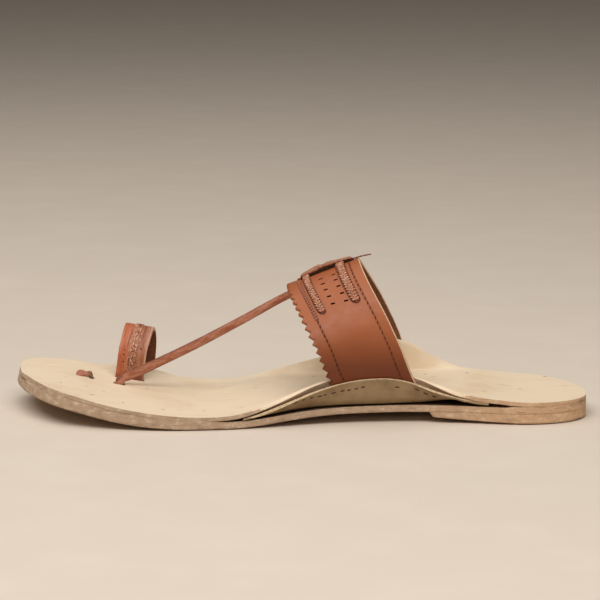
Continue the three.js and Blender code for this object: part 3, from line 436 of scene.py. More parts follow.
class BandFace:
    """The band's outer face. u runs across it from the front edge (0) to the rear edge (1), and s
    along it from the lateral foot (0) over the crown to the medial foot (1)."""

    STEPS = 118

    def __init__(self):
        self.tree = surface("band")
        self.rows = [self.row(u) for u in CLEAR_SHARES]
        middle = self.rows[len(self.rows) // 2]
        self.length = sum((b - a).length for a, b in zip(middle, middle[1:]))

    def slice_x(self, u, y, z):
        """Where a slice stands along the sole, brought down to the floor along its lean."""
        skew = max(y, 0) / BAND_HALF
        narrowing = BAND_NARROWING * u * (1 - smooth(z, 0, BAND_HEIGHT))
        bowed = smooth(z, *BOW_RISES) * (1 - smooth(z, *BOW_FALLS))
        bow = mix(BAND_BOW_FRONT, BAND_BOW_REAR, u) * bowed
        return BAND_REAR - BAND_REACH * (1 - u) - BAND_SKEW * min(skew, 1) - narrowing + bow

    def hit(self, u, angle):
        """Where the ray of a slice at this angle meets the band from outside, or None."""
        out = Vector((-BAND_LEAN * math.sin(angle), -math.cos(angle), math.sin(angle)))
        place = Vector((0, *BAND_AXIS)) + out * RAY_GUESS
        for _ in range(3):
            x = self.slice_x(u, place.y, place.z) - BAND_LEAN * BAND_AXIS.y
            axis = Vector((x, *BAND_AXIS))
            place = self.tree.ray_cast(axis + out * RAY_START, -out)[0]
            if place is None or (place - axis).dot(out) < 0:
                return None
        return place

    def row(self, u):
        """Points of one slice, evenly spaced and freed of the CAD surface's facets."""
        angles = [mix(-FOOT_ANGLE, math.pi + FOOT_ANGLE, i / RAYS) for i in range(RAYS + 1)]
        points = [p for p in (self.hit(u, angle) for angle in angles) if p is not None]
        for _ in range(SMOOTHINGS):
            inner = [(a + b * 2 + c) / 4 for a, b, c in zip(points, points[1:], points[2:])]
            points = [points[0], *inner, points[-1]]
        lengths = [0.0]
        for a, b in zip(points, points[1:]):
            lengths.append(lengths[-1] + (b - a).length)
        even = []
        j = 0
        for i in range(self.STEPS + 1):
            goal = lengths[-1] * i / self.STEPS
            while j < len(points) - 2 and lengths[j + 1] < goal:
                j += 1
            share = (goal - lengths[j]) / max(lengths[j + 1] - lengths[j], 1e-9)
            even.append(points[j].lerp(points[j + 1], min(share, 1)))
        return even

    def at_row(self, k, s):
        place = min(max(s, 0), 1) * self.STEPS
        i = min(int(place), self.STEPS - 1)
        return self.rows[k][i].lerp(self.rows[k][i + 1], place - i)

    def point(self, u, s):
        """A point of the face, between the two rows that u lies between."""
        k = 0
        while k < len(CLEAR_SHARES) - 2 and u > CLEAR_SHARES[k + 1]:
            k += 1
        low, high = CLEAR_SHARES[k], CLEAR_SHARES[k + 1]
        return self.at_row(k, s).lerp(self.at_row(k + 1, s), (u - low) / (high - low))

    def basis(self, u, s):
        """The point, and the directions across, along and out of the band there."""
        step = 0.012
        point = self.point(u, s)
        across = (self.point(u + step, s) - self.point(u - step, s)).normalized()
        along = (self.point(u, s + step) - self.point(u, s - step)).normalized()
        out = across.cross(along).normalized()
        return point, across, along, out

    def over(self, u, s, height):
        """A point this high over the face."""
        point, _, _, out = self.basis(u, s)
        return point + out * height


def tooth(s, length):
    """How far the toothed front edge is cut back here: 0 at a tooth's tip."""
    teeth = round(length / TOOTH_PITCH)
    phase = abs((s * teeth) % 1 - 0.5) * 2
    return TOOTH_DEPTH * phase


def band_section(cut):
    """The band's section: (mm from the front edge, height over the outer face, part) round it."""
    width = BAND_WIDTH
    corner = BAND_CORNER
    fine = [(0, -corner * 1.6), (corner * 0.3, -corner * 0.55), (corner, 0), (1.2 * MM, 0), (2.4 * MM, 0)]
    top = [(x + cut * max(1 - x / TOOTH_FADES, 0), z, "face") for x, z in fine]
    top += [(width * share, 0, "face") for share in (0.12, 0.2, 0.3, 0.4, 0.5, 0.6, 0.7, 0.8, 0.9)]
    top += [(width - corner * 1.6, 0, "edge"), (width - corner * 0.4, -corner * 0.4, "edge")]
    top += [(width, -corner * 1.3, "edge"), (width, -BAND_THICK + corner, "edge")]
    inner = [(width - corner, -BAND_THICK, "inner")]
    inner += [(width * share, -BAND_THICK, "inner") for share in (0.8, 0.6, 0.4, 0.2, 0.12)]
    inner += [(corner + cut, -BAND_THICK, "front"), (cut, -BAND_THICK + corner, "front")]
    return top + inner


def band_strip(face):
    """The toothed band without its slots, with a UV map of places on it and its faces sorted."""
    teeth = round(face.length / TOOTH_PITCH)
    columns = teeth * TOOTH_COLUMNS
    rings = []
    for i in range(columns + 1):
        s = i / columns
        section = band_section(tooth(s, face.length))
        rings.append([face.over(x / BAND_WIDTH, s, z) for x, z, _ in section])
    mesh = loft(rings)
    parts = [part for _, _, part in band_section(0)]
    kinds = {"face": 0, "edge": 1, "inner": 2, "front": 0}
    count = len(parts)
    uv = mesh.uv_layers.new(name="strap")
    for polygon in mesh.polygons:
        if len(polygon.vertices) > 4:
            polygon.material_index = 2
            continue
        polygon.material_index = kinds[parts[polygon.vertices[0] % count]]
    for loop in mesh.loops:
        i, j = divmod(loop.vertex_index, count)
        x = band_section(0)[j][0]
        uv.data[loop.index].uv = (x, i / columns * face.length)
    return outward(mesh)


def make_band(face, materials, dark):
    mesh = band_strip(face)
    for material in materials:
        mesh.materials.append(material)
    # The slots' walls take the near-black painted shadow.
    cut = cut_out(mesh, [punch(face, u, s) for u, s in slot_places()], dark)
    return piece("band_leather", cut, (), ["band"])


def slot_places():
    """Each slot's share across the band and along it, on both sides of the crown."""
    return [(u, s) for u in SLOT_ROWS for share in SLOT_SHARES for s in (share, 1 - share)]


def punch(face, u, s):
    """The cutter of one slot: a box with cut corners, straight through the band."""
    point, across, along, out = face.basis(u, s)
    half = SLOT_SIZE / 2
    rings = []
    for depth in (-1, 1):
        middle = point + out * (depth * half.z)
        rings.append([middle + across * (x * half.x) + along * (y * half.y) for x, y in SLOT_OUTLINE])
    return outward(loft(rings))


def stitch_row(face, u, start, end, rng):
    """Stitches along the band between two shares of its length, each a little askew."""
    count = round(abs(end - start) * face.length / STITCH_PITCH)
    stitches = []
    for i in range(count):
        s = mix(start, end, (i + 0.5) / count)
        point, across, along, out = face.basis(u, s)
        tilt = math.radians(STITCH_TILT + rng.uniform(-STITCH_WANDER, STITCH_WANDER))
        axis = along * math.cos(tilt) + across * math.sin(tilt)
        sideways = axis.cross(out)
        length = STITCH_LENGTH * rng.uniform(0.88, 1.08)
        centre = point + out * STITCH_SEAT
        stitches.append(capsule(centre, axis, sideways, out, length, STITCH_RADIUS))
    return stitches


def whipped_seam(face, side, rng):
    """The covered upper part of the front seam: a raised strip bound with slanting stitches."""
    start, end = (SEAM_END, CROWN[0]) if side == LATERAL else (CROWN[1], 1 - SEAM_END)
    section = [(FRONT_SEAM + x * SEAM_WIDTH / BAND_WIDTH, z * MM) for x, z in SEAM_SECTION]
    rings = []
    for i in range(SEAM_STEPS + 1):
        s = mix(start, end, i / SEAM_STEPS)
        rings.append([face.over(u, s, z) for u, z in section])
    strip = loft(rings)
    binding = []
    count = round((end - start) * face.length / BINDING_PITCH)
    for i in range(count):
        s = mix(start, end, (i + 0.5) / count)
        point, across, along, out = face.basis(FRONT_SEAM, s)
        axis = (across + along * BINDING_SLANT).normalized()
        length = SEAM_WIDTH * rng.uniform(0.95, 1.15)
        centre = point + out * BINDING_SEAT
        binding.append(capsule(centre, axis, axis.cross(out), out, length, BINDING_RADIUS))
    return strip, binding


def make_plait(face, plait):
    """A flat plait of three laces over the crown, thinner at its ends."""
    start, end = plait["lowest"], 1 - plait["lowest"]
    length = (end - start) * face.length
    turns = round(length / PLAIT_PITCH)
    steps = turns * PLAIT_STEPS
    half = plait["width"] / 2
    meshes = []
    for lace in range(3):
        rings = []
        for i in range(steps + 1):
            share = i / steps
            phase = 2 * math.pi * (share * turns + lace / 3)
            taper = min(share, 1 - share) * length
            full = min(taper / PLAIT_TAPER, 1)
            s = mix(start, end, share)
            aside = math.sin(phase) * half * PLAIT_SWING * mix(0.5, 1, full)
            lift = PLAIT_SEAT + PLAIT_LIFT + math.sin(2 * phase) * PLAIT_WEAVE
            ring = []
            for k in range(ROD_SIDES):
                angle = 2 * math.pi * k / ROD_SIDES
                x = aside + math.cos(angle) * half * PLAIT_LACE
                z = lift + math.sin(angle) * PLAIT_THICK * mix(0.6, 1, full)
                ring.append(face.over(plait["u"] + x / BAND_WIDTH, s, z))
            rings.append(ring)
        meshes.append(loft(rings))
    return joined(meshes)


def backing(face, plait):
    """The strip under a plait, with a raised border and rounded lower ends."""
    start = plait["lowest"] - BACKING_MARGIN
    end = 1 - plait["lowest"] + BACKING_MARGIN
    length = (end - start) * face.length
    half = plait["width"] / 2
    rings = []
    for i in range(BACKING_STEPS + 1):
        share = i / BACKING_STEPS
        taper = min(share, 1 - share) * length
        full = math.sqrt(max(1 - (1 - min(taper / half, 1)) ** 2, 0.04))
        s = mix(start, end, share)
        reach = half * full / BAND_WIDTH
        seat = PLAIT_SEAT * BACKING_SEAT
        rings.append([face.over(plait["u"] + x * reach, s, seat + z * MM) for x, z in BACKING_SECTION])
    return outward(loft(rings))


def ribbon(face, rows, s):
    """A lace across the band's crown, through rows of (share across, height, half width and half
    thickness in mm), at one share along it."""
    curve = [Vector(row) for row in rows]
    dense = []
    for a, b in zip(curve, curve[1:]):
        dense += [list(a.lerp(b, i / LACE_STEPS)) for i in range(LACE_STEPS)]
    dense.append(list(curve[-1]))
    rings = []
    for u, height, half, thick in dense:
        point, across, along, out = face.basis(min(u, BAND_LAST), s)
        point = point + across * (max(u - BAND_LAST, 0) * BAND_WIDTH)
        centre = point + out * (height * MM)
        ring = []
        for k in range(LACE_SIDES):
            angle = 2 * math.pi * k / LACE_SIDES
            rise = out * (math.sin(angle) * thick * MM)
            ring.append(centre + along * (math.cos(angle) * half * MM) + rise)
        rings.append(ring)
    return applied(outward(loft(rings)), "SUBSURF", levels=1)


def make_crest(face, materials):
    """The lace over the crown, a near-black sheet of painted shadow under it, and its thin tail behind the
    band.
    """
    # The sheet under the lace is painted shadow that fills the gap down to the band.
    under = [(u, height / 2, SHADOW_SHEET_HALF, height / 2 + 0.1) for u, height in CREST_UNDER]
    under = [(CREST_UNDER[0][0] - 0.02, 0.2, 0.6, 0.1), *under, (CREST_UNDER[-1][0] + 0.02, 0.4, 0.5, 0.1)]
    tail = [(u, height, TAIL_HALF, TAIL_THICK) for u, height in TAIL]
    pieces = (("crest_lace", CREST, "lace"), ("crest_painted_shadow", under, "painted_shadow"), ("crest_tail", tail, "tail"))
    for name, rows, material in pieces:
        lace = ribbon(face, rows, CREST_ALONG)
        piece(name, lace, [materials[material]], ["crest"])


# Materials

class Leather:
    """A leather material: short calls that add nodes to it and return their output sockets."""

    def __init__(self, name, roughness, specular=0.4):
        self.material = bpy.data.materials.new(name)
        self.material.use_nodes = True
        self.tree = self.material.node_tree
        self.bsdf = self.tree.nodes["Principled BSDF"]
        self.bsdf.inputs["Roughness"].default_value = roughness
        self.bsdf.inputs["Specular IOR Level"].default_value = specular
        self.position = self.add("ShaderNodeTexCoord").outputs["Object"]

    def add(self, kind, inputs=(), **settings):
        """A new node, with its settings made and its inputs linked or set."""
        node = self.tree.nodes.new(kind)
        for key, value in settings.items():
            setattr(node, key, value)
        for key, value in dict(inputs).items():
            self.put(node.inputs[key], value)
        return node

    def put(self, socket, value):
        """Links a socket to the value if that is a socket too, or else sets it."""
        if isinstance(value, bpy.types.NodeSocket):
            self.tree.links.new(value, socket)
        elif socket.type == "RGBA" and len(value) == 3:
            socket.default_value = (*value, 1)
        else:
            socket.default_value = value

    def stretch(self, vector, scale):
        return self.add("ShaderNodeVectorMath", {0: vector, 1: scale}, operation="MULTIPLY").outputs[0]

    def noise(self, size_mm, detail=4, rough=0.55, stretch=None, vector=None):
        """Noise from 0 to 1 whose blotches are about this large."""
        vector = vector or self.position
        if stretch:
            vector = self.stretch(vector, stretch)
        inputs = {"Vector": vector, "Scale": 1 / (size_mm * MM), "Detail": detail, "Roughness": rough}
        return self.add("ShaderNodeTexNoise", inputs).outputs["Fac"]

    def cells(self, size_mm):
        inputs = {"Vector": self.position, "Scale": 1 / (size_mm * MM)}
        return self.add("ShaderNodeTexVoronoi", inputs).outputs["Distance"]

    def fit(self, value, low, high, to_low=0.0, to_high=1.0):
        """value's span low to high taken to 0 to 1, or to the given span, and held there."""
        inputs = {"Value": value, "From Min": low, "From Max": high, "To Min": to_low, "To Max": to_high}
        return self.add("ShaderNodeMapRange", inputs, interpolation_type="SMOOTHSTEP").outputs[0]

    def math(self, operation, *values):
        return self.add("ShaderNodeMath", dict(enumerate(values)), operation=operation).outputs[0]

    def mix(self, share, low, high):
        node = self.add("ShaderNodeMix", data_type="RGBA")
        self.put(node.inputs[0], share)
        self.put(node.inputs[6], low)
        self.put(node.inputs[7], high)
        return node.outputs[2]

    def axis(self, name, vector=None):
        return self.add("ShaderNodeSeparateXYZ", {0: vector or self.position}).outputs[name]

    def strap(self):
        """Places on a strap: X across it and Y along it."""
        return self.add("ShaderNodeUVMap", uv_map="strap").outputs["UV"]

    def colour(self, socket):
        self.put(self.bsdf.inputs["Base Color"], socket)

    def roughness(self, socket):
        self.put(self.bsdf.inputs["Roughness"], socket)

    def bump(self, *layers):
        """Layers of (height from 0 to 1, depth in mm) stacked on the surface."""
        normal = None
        for height, depth_mm in layers:
            inputs = {"Height": height, "Distance": depth_mm * MM, "Strength": 1.0}
            if normal:
                inputs["Normal"] = normal
            normal = self.add("ShaderNodeBump", inputs).outputs["Normal"]
        self.put(self.bsdf.inputs["Normal"], normal)

    def scar(self, x, y, length, width, turn):
        """1 at a small scar on the insole and 0 away from it."""
        inputs = {"Vector": self.position, "Location": Vector((x, y, 0)) * MM}
        inputs["Rotation"] = (0, 0, math.radians(turn))
        inputs["Scale"] = Vector((length / 2, width / 2, 1e4)) * MM
        local = self.add("ShaderNodeMapping", inputs, vector_type="TEXTURE").outputs[0]
        distance = self.add("ShaderNodeVectorMath", {0: local}, operation="LENGTH").outputs["Value"]
        return self.fit(distance, 0.5, 1.25, 1, 0)


def pale_leather():
    """The insole: pale, with faint blotches and streaks along it, and small dark scars."""
    leather = Leather("pale_leather", 0.58)
    blotch = leather.fit(leather.noise(26, detail=5), 0.46, 0.78, 0, 0.7)
    streak = leather.fit(leather.noise(6, detail=5, stretch=(0.22, 1.3, 1)), 0.5, 0.8, 0, 0.4)
    colour = leather.mix(blotch, PALE, PALE_TAN)
    colour = leather.mix(streak, colour, PALE_TAN)
    scars = leather.scar(*SCARS[0])
    for row in SCARS[1:]:
        scars = leather.math("MAXIMUM", scars, leather.scar(*row))
    ragged = leather.math("MULTIPLY", scars, leather.fit(leather.noise(0.7, detail=3), 0.28, 0.48))
    leather.colour(leather.mix(leather.math("MULTIPLY", ragged, 0.78), colour, SCAR))
    sunk = leather.math("SUBTRACT", 1.0, scars)
    leather.bump((leather.noise(13, detail=2), 0.45), (sunk, 0.25), (leather.noise(0.7, detail=3), 0.045))
    return leather


def ear_leather():
    """The ears: flesh side out, darker and rougher than the insole."""
    leather = Leather("ear_leather", 0.8, 0.25)
    nap = leather.noise(1.1, detail=6, rough=0.7)
    blotch = leather.fit(leather.noise(9, detail=5), 0.35, 0.75)
    colour = leather.mix(blotch, FLESH_LIGHT, FLESH)
    colour = leather.mix(leather.fit(nap, 0.55, 0.8, 0, 0.5), colour, RAW_DARK)
    leather.colour(colour)
    leather.bump((nap, 0.22), (leather.noise(8, detail=2), 0.5))
    return leather


def raw_edge():
    """Cut edges: mottled, with short fibres along the edge, greyer at the toe and orange at the heel."""
    leather = Leather("raw_edge", 0.85, 0.2)
    fibre = leather.noise(0.8, detail=6, rough=0.8, stretch=(0.6, 0.6, 1.1))
    mottle = leather.noise(3, detail=6, rough=0.7, stretch=(0.7, 0.7, 1.2))
    layers = leather.noise(2.4, detail=5, rough=0.7, stretch=(0.16, 0.16, 1.4))
    base = leather.mix(leather.fit(leather.axis("X"), 30 * MM, 105 * MM), RAW, RAW_ORANGE)
    colour = leather.mix(leather.fit(mottle, 0.5, 0.7, 0, 0.7), base, RAW_PINK)
    colour = leather.mix(leather.fit(mottle, 0.36, 0.48, 0.5, 0), colour, PALE)
    colour = leather.mix(leather.fit(layers, 0.54, 0.7, 0, 0.55), colour, RAW_DARK)
    colour = leather.mix(leather.fit(fibre, 0.58, 0.72, 0, 0.8), colour, RAW_DARK)
    colour = leather.mix(leather.fit(fibre, 0.3, 0.42, 0.5, 0), colour, PALE)
    leather.colour(colour)
    leather.bump((fibre, 0.5), (leather.noise(0.5, detail=3), 0.12))
    return leather


def brown_leather():
    """The band: smooth, with painted shade darkening it towards its feet, and a groove along each seam."""
    leather = Leather("brown_leather", 0.38, 0.32)
    strap = leather.strap()
    blotch = leather.fit(leather.noise(14, detail=4), 0.35, 0.75)
    colour = leather.mix(blotch, BROWN, BROWN_LIGHT)
    # Painted shade: the band darkens towards its feet, fully below 22 mm and not at all above 48 mm.
    colour = leather.mix(leather.fit(leather.axis("Z"), 22 * MM, 48 * MM, 1, 0), colour, BROWN_PAINTED_SHADE)
    across = leather.axis("X", strap)
    groove = None
    for share in (FRONT_SEAM, REAR_SEAM):
        offset = leather.math("ABSOLUTE", leather.math("SUBTRACT", across, share * BAND_WIDTH))
        line = leather.fit(offset, 0.15 * MM, 0.6 * MM, 1, 0)
        groove = line if groove is None else leather.math("MAXIMUM", groove, line)
    leather.colour(leather.mix(leather.math("MULTIPLY", groove, 0.35), colour, BROWN_DARK))
    leather.roughness(leather.fit(leather.noise(3, detail=3), 0.3, 0.7, 0.34, 0.48))
    sunk = leather.math("SUBTRACT", 1.0, groove)
    pores = leather.fit(leather.cells(0.5), 0.0, 0.35)
    leather.bump((leather.noise(10, detail=2), 0.3), (sunk, 0.22), (pores, 0.012))
    return leather


def plain_leather(name, base, variant, roughness, grain_mm, depth_mm):
    """Leather in two shades of one colour, mottled at the size of its grain."""
    leather = Leather(name, roughness, 0.35)
    grain = leather.noise(grain_mm, detail=4)
    leather.colour(leather.mix(leather.fit(grain, 0.42, 0.7), base, variant))
    leather.bump((grain, depth_mm))
    return leather


def loop_leather():
    """The toe loop: streaked along its length, orange towards the toe, its middle worn and pale, with
    painted shade low on its legs.
    """
    leather = Leather("loop_leather", 0.5, 0.4)
    strap = leather.strap()
    across = leather.axis("X", strap)
    base = leather.mix(leather.fit(across, 1.2 * MM, 3.6 * MM), PINK, LOOP_ORANGE)
    streak = leather.noise(1.3, detail=4, stretch=(1, 0.1, 1), vector=strap)
    colour = leather.mix(leather.fit(streak, 0.5, 0.68, 0, 0.75), base, LACE_DARK)
    colour = leather.mix(leather.fit(streak, 0.34, 0.46, 0.55, 0), colour, PINK_LIGHT)
    middle = leather.fit(leather.math("ABSOLUTE", across), 1.4 * MM, 2.8 * MM, 1, 0)
    speck = leather.noise(0.9, detail=3, stretch=(1, 0.7, 1), vector=strap)
    colour = leather.mix(leather.math("MULTIPLY", middle, leather.fit(speck, 0.53, 0.62)), colour, WORN)
    holes = leather.fit(speck, 0.36, 0.44, 0.8, 0)
    colour = leather.mix(leather.math("MULTIPLY", middle, holes), colour, LACE_DARK)
    colour = leather.mix(leather.fit(across, -6 * MM, -5.5 * MM, 0.8, 0), colour, WORN)
    # Painted shade low on the legs, under the thong: darker below 15 mm, darkest below 10.5 mm.
    low = leather.fit(leather.axis("Z"), 10.5 * MM, 15 * MM, 0.75, 0)
    leather.colour(leather.mix(low, colour, LACE_DARK))
    leather.bump((streak, 0.25), (speck, 0.3), (leather.noise(0.5, detail=3), 0.05))
    return leather


def thong_leather():
    """The thong: dark along its edges, rubbed pinkish along its middle."""
    leather = Leather("thong_leather", 0.5, 0.4)
    strap = leather.strap()
    across = leather.axis("X", strap)
    rub = leather.noise(3.2, detail=5, rough=0.65, stretch=(1.6, 0.35, 1), vector=strap)
    base = leather.mix(leather.fit(rub, 0.36, 0.62), THONG_DARK, THONG_RUBBED)
    fleck = leather.fit(leather.noise(0.8, detail=4), 0.58, 0.7, 0, 0.5)
    colour = leather.mix(fleck, base, PINK_LIGHT)
    edge = leather.fit(leather.math("ABSOLUTE", across), 1.1 * MM, 2.2 * MM, 0, 0.8)
    leather.colour(leather.mix(edge, colour, LACE_DARK))
    leather.bump((rub, 0.3), (leather.noise(0.8, detail=4), 0.14))
    return leather


def tab_leather():
    """The strap's tab: pinkish at its tip and brown at its foot."""
    leather = Leather("tab_leather", 0.6, 0.35)
    grain = leather.noise(0.9, detail=5)
    base = leather.mix(leather.fit(leather.axis("X"), -98.5 * MM, -96.5 * MM), TAB_PINK, TAB_BROWN)
    leather.colour(leather.mix(leather.fit(grain, 0.5, 0.7, 0, 0.7), base, LACE_DARK))
    leather.bump((grain, 0.2))
    return leather


def scuffed_leather(name, base, scuff, limit, strength):
    """Brown lace leather with dark patches, rubbed pale in irregular specks."""
    leather = Leather(name, 0.55, 0.35)
    specks = leather.fit(leather.noise(0.9, detail=5, rough=0.7), limit - 0.06, limit + 0.1, 0, strength)
    dark = leather.fit(leather.noise(2.2, detail=4), 0.5, 0.72, 0, 0.6)
    colour = leather.mix(dark, base, LACE_DARK)
    leather.colour(leather.mix(specks, colour, scuff))
    leather.bump((leather.noise(0.8, detail=4), 0.16), (leather.noise(3, detail=2), 0.2))
    return leather


# Stage

def make_floor():
    bpy.ops.mesh.primitive_plane_add(size=FLOOR_SIZE)
    floor = bpy.context.object
    floor.name = "floor"
    leather = plain_leather("floor", FLOOR, FLOOR_LIGHT, 0.9, 40, 0.001)
    floor.data.materials.append(leather.material)


def area_light(name, place, aim, size, power, colour):
    light = bpy.data.lights.new(name, "AREA")
    light.shape = "RECTANGLE"
    light.size, light.size_y = size
    light.energy = power
    light.color = colour
    obj = bpy.data.objects.new(name, light)
    obj.location = place
    obj.rotation_euler = (Vector(aim) - Vector(place)).to_track_quat("-Z", "Y").to_euler()
    bpy.context.scene.collection.objects.link(obj)


def make_lights():
    for row in LIGHTS:
        area_light(*row)
    world = bpy.data.worlds.new("studio")
    world.use_nodes = True
    background = world.node_tree.nodes["Background"]
    background.inputs["Color"].default_value = WORLD_COLOUR
    background.inputs["Strength"].default_value = WORLD_STRENGTH
    bpy.context.scene.world = world
    bpy.context.scene.view_settings.view_transform = "Standard"


def make_camera():
    camera = bpy.data.cameras.new("photo_camera")
    camera.lens = CAMERA_LENS
    camera.sensor_width = CAMERA_SENSOR
    camera.clip_end = CAMERA_REACH
    obj = bpy.data.objects.new("photo_camera", camera)
    back = Vector((0, -math.cos(CAMERA_ELEVATION), math.sin(CAMERA_ELEVATION)))
    obj.location = CAMERA_TARGET + back * CAMERA_DISTANCE
    obj.rotation_euler = (-back).to_track_quat("-Z", "Y").to_euler()
    bpy.context.scene.collection.objects.link(obj)
    bpy.context.scene.camera = obj


# The sandal

def glue(mesh, lip=False):
    """Closes the gap over a sole layer where it is glued to the one above. A lip also fills the
    groove between their rounded borders."""
    top = 0.25 if lip else 0.5
    for vertex, normal in zip(mesh.vertices, mesh.vertex_normals):
        if normal.vector.z < top:
            continue
        x = vertex.co.x
        toe = 1 - smooth(x, GLUED_TOE - GLUE_RAMP, GLUED_TOE + GLUE_RAMP)
        heel = smooth(x, GLUED_HEEL - GLUE_RAMP, GLUED_HEEL + GLUE_RAMP)
        if lip:
            vertex.co.z += LAYER_GAP * LIP_SHARE if normal.vector.z > 0.9 else LAYER_GAP + LIFT_BEVEL
        else:
            vertex.co.z += LAYER_GAP * (toe + heel)


def is_cut_edge(place, normal):
    """True on the insole's cut edge and underside, and False on its upper face and flanges."""
    if normal.z < -0.3:
        return True
    if normal.z > 0.25:
        return False
    flat = not FLANGE_TOE < place.x < FLANGE_HEEL
    return flat or normal.y * place.y > 0


def sort_faces(mesh, test):
    """Gives the second material to the faces that pass the test."""
    for polygon in mesh.polygons:
        polygon.material_index = int(test(polygon.center, polygon.normal))
    return mesh


def pared(mesh):
    """Thins an ear's rear tip from below and lifts it off the outsole."""
    for vertex, normal in zip(mesh.vertices, mesh.vertex_normals):
        share = smooth(vertex.co.x, EAR_TAIL_STARTS, EAR_TAIL_FULL)
        below = smooth(-normal.vector.z, 0, 0.6)
        vertex.co.z += share * (EAR_TAIL_LIFT + below * EAR_TAIL_PARING)
    return mesh


def make_sole(materials):
    outsole = refined("outsole", crease=1)
    glue(outsole)
    heel_lift = refined("heel_lift", crease=1)
    glue(heel_lift, lip=True)
    # The outsole's upper face between the glued ends lies in the gap under the insole and takes a dark
    # painted shade.
    sort_faces(outsole, lambda place, normal: normal.z > 0.6 and GLUED_TOE < place.x < GLUED_HEEL)
    piece("outsole_leather", outsole, [materials["raw"], materials["painted_gap_shade"]], ["outsole"])
    piece("heel_lift_leather", heel_lift, [materials["raw"]], ["heel_lift"])
    insole = sort_faces(refined("insole", crease=0.95), is_cut_edge)
    piece("insole_leather", insole, [materials["pale"], materials["raw"]], ["insole"])
    for node in ("ear_lateral", "ear_medial"):
        ear = sort_faces(pared(refined(node)), lambda place, normal: normal.z > 0.15)
        piece(node + "_leather", ear, [materials["ear"], materials["rim"]], [node])


def ear_stitches(rng):
    """Broken rows of thread on the ears' outer faces."""
    stitches = []
    for side, node in ((LATERAL, "ear_lateral"), (MEDIAL, "ear_medial")):
        tree = surface(node)
        x = EAR_ROW[0][0]
        while x < EAR_ROW[-1][0]:
            length = rng.uniform(*EAR_STITCH)
            x += length + rng.uniform(*EAR_STEP)
            if any(low < x < high for low, high in EAR_GAPS):
                continue
            k = max(i for i in range(len(EAR_ROW) - 1) if EAR_ROW[i][0] <= x or i == 0)
            (x0, z0), (x1, z1) = EAR_ROW[k], EAR_ROW[k + 1]
            z = mix(z0, z1, (x - x0) / (x1 - x0)) + rng.uniform(-EAR_WANDER, EAR_WANDER)
            origin = Vector((x, side * 80, z)) * MM
            point, normal, _, _ = tree.ray_cast(origin, Vector((0, -side, 0)))
            if point is None:
                continue
            along = Vector((x1 - x0, 0, z1 - z0)).normalized()
            along = (along - normal * along.dot(normal)).normalized()
            sideways = along.cross(normal)
            stitches.append(capsule(point, along, sideways, normal, length * MM, EAR_RADIUS, 0.6))
    return joined(stitches)


def make_sewing(face, materials):
    rng = random.Random(SEED)
    rows = []
    rows += stitch_row(face, REAR_SEAM, SEWN[0], CROWN[0], rng)
    rows += stitch_row(face, REAR_SEAM, CROWN[1], SEWN[1], rng)
    rows += stitch_row(face, FRONT_SEAM, SEWN[0], SEAM_END, rng)
    rows += stitch_row(face, FRONT_SEAM, 1 - SEAM_END, SEWN[1], rng)
    strips = []
    binding = []
    for side in (LATERAL, MEDIAL):
        strip, bound = whipped_seam(face, side, rng)
        strips.append(strip)
        binding += bound
    piece("band_thread", joined(rows), [materials["thread"]])
    piece("seam_strip", joined(strips), [materials["seam"]])
    piece("seam_binding", joined(binding), [materials["binding"]])
    piece("ear_thread", ear_stitches(rng), [materials["thread"]])


def strap_places(mesh, start, end, limit=1):
    """Gives a strap's mesh its places: X across it from its middle, and Y along it. Only points
    with y below the limit count for the middle."""
    along = (end - start).normalized()
    side = along.cross(Vector((0, 1, 0))).normalized()
    rows = {}
    for vertex in mesh.vertices:
        if vertex.co.y < limit:
            place = vertex.co - start
            rows.setdefault(round(place.dot(along) / STRAP_STEP), []).append(place.dot(side))
    middle = {key: (min(row) + max(row)) / 2 for key, row in rows.items()}
    uv = mesh.uv_layers.new(name="strap")
    for loop in mesh.loops:
        place = mesh.vertices[loop.vertex_index].co - start
        run = place.dot(along)
        aside = place.dot(side) - middle.get(round(run / STRAP_STEP), 0)
        uv.data[loop.index].uv = (aside, run)
    return mesh


def pinholes(tree):
    """Pins for the loop's pinholes, found by rays on its near leg's outer face."""
    pins = []
    for x, z in PINHOLES:
        place, normal, _, _ = tree.ray_cast(Vector((x * MM, -60 * MM, z * MM)), Vector((0, 1, 0)))
        if place is not None:
            side = normal.orthogonal().normalized()
            pins.append(capsule(place, normal, side, normal.cross(side), PINHOLE * 6, PINHOLE, 1))
    return pins


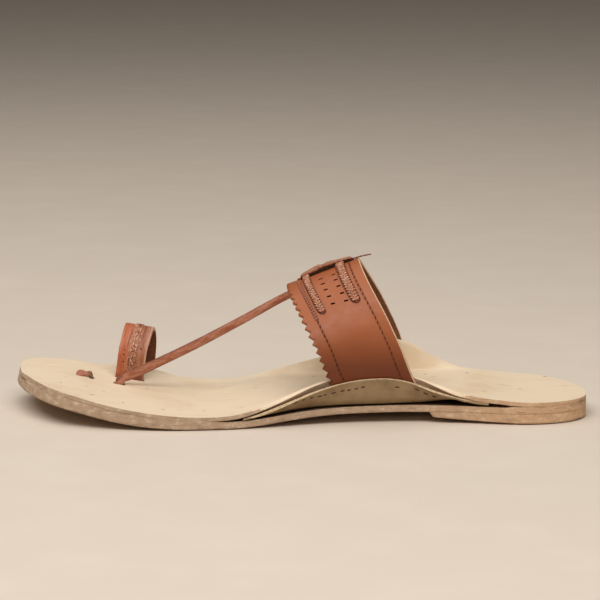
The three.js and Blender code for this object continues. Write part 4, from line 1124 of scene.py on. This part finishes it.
def make_toe_straps(materials):
    low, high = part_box("toe_loop")
    axis = (low[1] + high[1]) / 2
    loop = refined("toe_loop", levels=3)
    loop = strap_places(loop, *(Vector(point) * MM for point in LOOP_RUN), limit=axis)
    # Inward-facing faces of the loop take the darker leather of painted shade.
    sort_faces(loop, lambda place, normal: normal.y * (place.y - axis) < 0 and abs(normal.y) > 0.2)
    for name in ("loop", "loop_inner_shaded"):
        loop.materials.append(materials[name])
    # The pinholes' walls take the near-black painted shadow.
    loop = cut_out(loop, pinholes(surface("toe_loop")), materials["painted_shadow"])
    piece("toe_loop_leather", loop, (), ["toe_loop"])
    thong = strap_places(refined("thong"), *(Vector(point) * MM for point in THONG_RUN))
    piece("thong_leather", thong, [materials["thong"]], ["thong"])
    piece("strap_end_leather", strap_tab(), [materials["tab"]], ["strap_end"])


def strap_tab():
    """The thong's other end: a short tab with a pinch in it, bent up from its slit."""
    low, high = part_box("strap_end")
    foot = Vector((high[0] - TAB_FOOT, (low[1] + high[1]) / 2, high[2] - TAB_DROP))
    rings = []
    for ahead, up, half, thick, turn in TAB:
        centre = foot + Vector((-ahead, 0, up)) * MM
        angle = math.radians(turn)
        across = Vector((0, math.cos(angle), math.sin(angle)))
        out = Vector((0, -math.sin(angle), math.cos(angle)))
        ring = []
        for k in range(LACE_SIDES):
            turned = 2 * math.pi * k / LACE_SIDES
            rise = out * (math.sin(turned) * thick * MM)
            ring.append(centre + across * (math.cos(turned) * half * MM) + rise)
        rings.append(ring)
    return applied(outward(loft(rings)), "SUBSURF", levels=2)


def make_plaits(face, materials):
    """Both plaits, each with the strip under it."""
    for name, plait in (("front", FRONT_PLAIT), ("rear", REAR_PLAIT)):
        node = "braid_" + name
        piece(node + "_backing", backing(face, plait), [materials["seam"]], [node])
        piece(node + "_plait", make_plait(face, plait), [materials["plait"]], [node])


make_camera()
make_lights()
make_floor()
materials = {name: plain_leather(name, *row).material for name, row in PLAIN.items()}
materials |= {
    "pale": pale_leather().material,
    "ear": ear_leather().material,
    "raw": raw_edge().material,
    "brown": brown_leather().material,
    "plait": scuffed_leather("plait_leather", PINK, WORN, 0.53, 0.95).material,
    "lace": scuffed_leather("lace_leather", LACE_BROWN, PINK_LIGHT, 0.55, 0.6).material,
    "loop": loop_leather().material,
    "thong": thong_leather().material,
    "tab": tab_leather().material,
}
make_sole(materials)
face = BandFace()
make_band(face, [materials["brown"], materials["band_edge"], materials["band_inner_shaded"]], materials["painted_shadow"])
make_sewing(face, materials)
make_plaits(face, materials)
make_crest(face, materials)
make_toe_straps(materials)
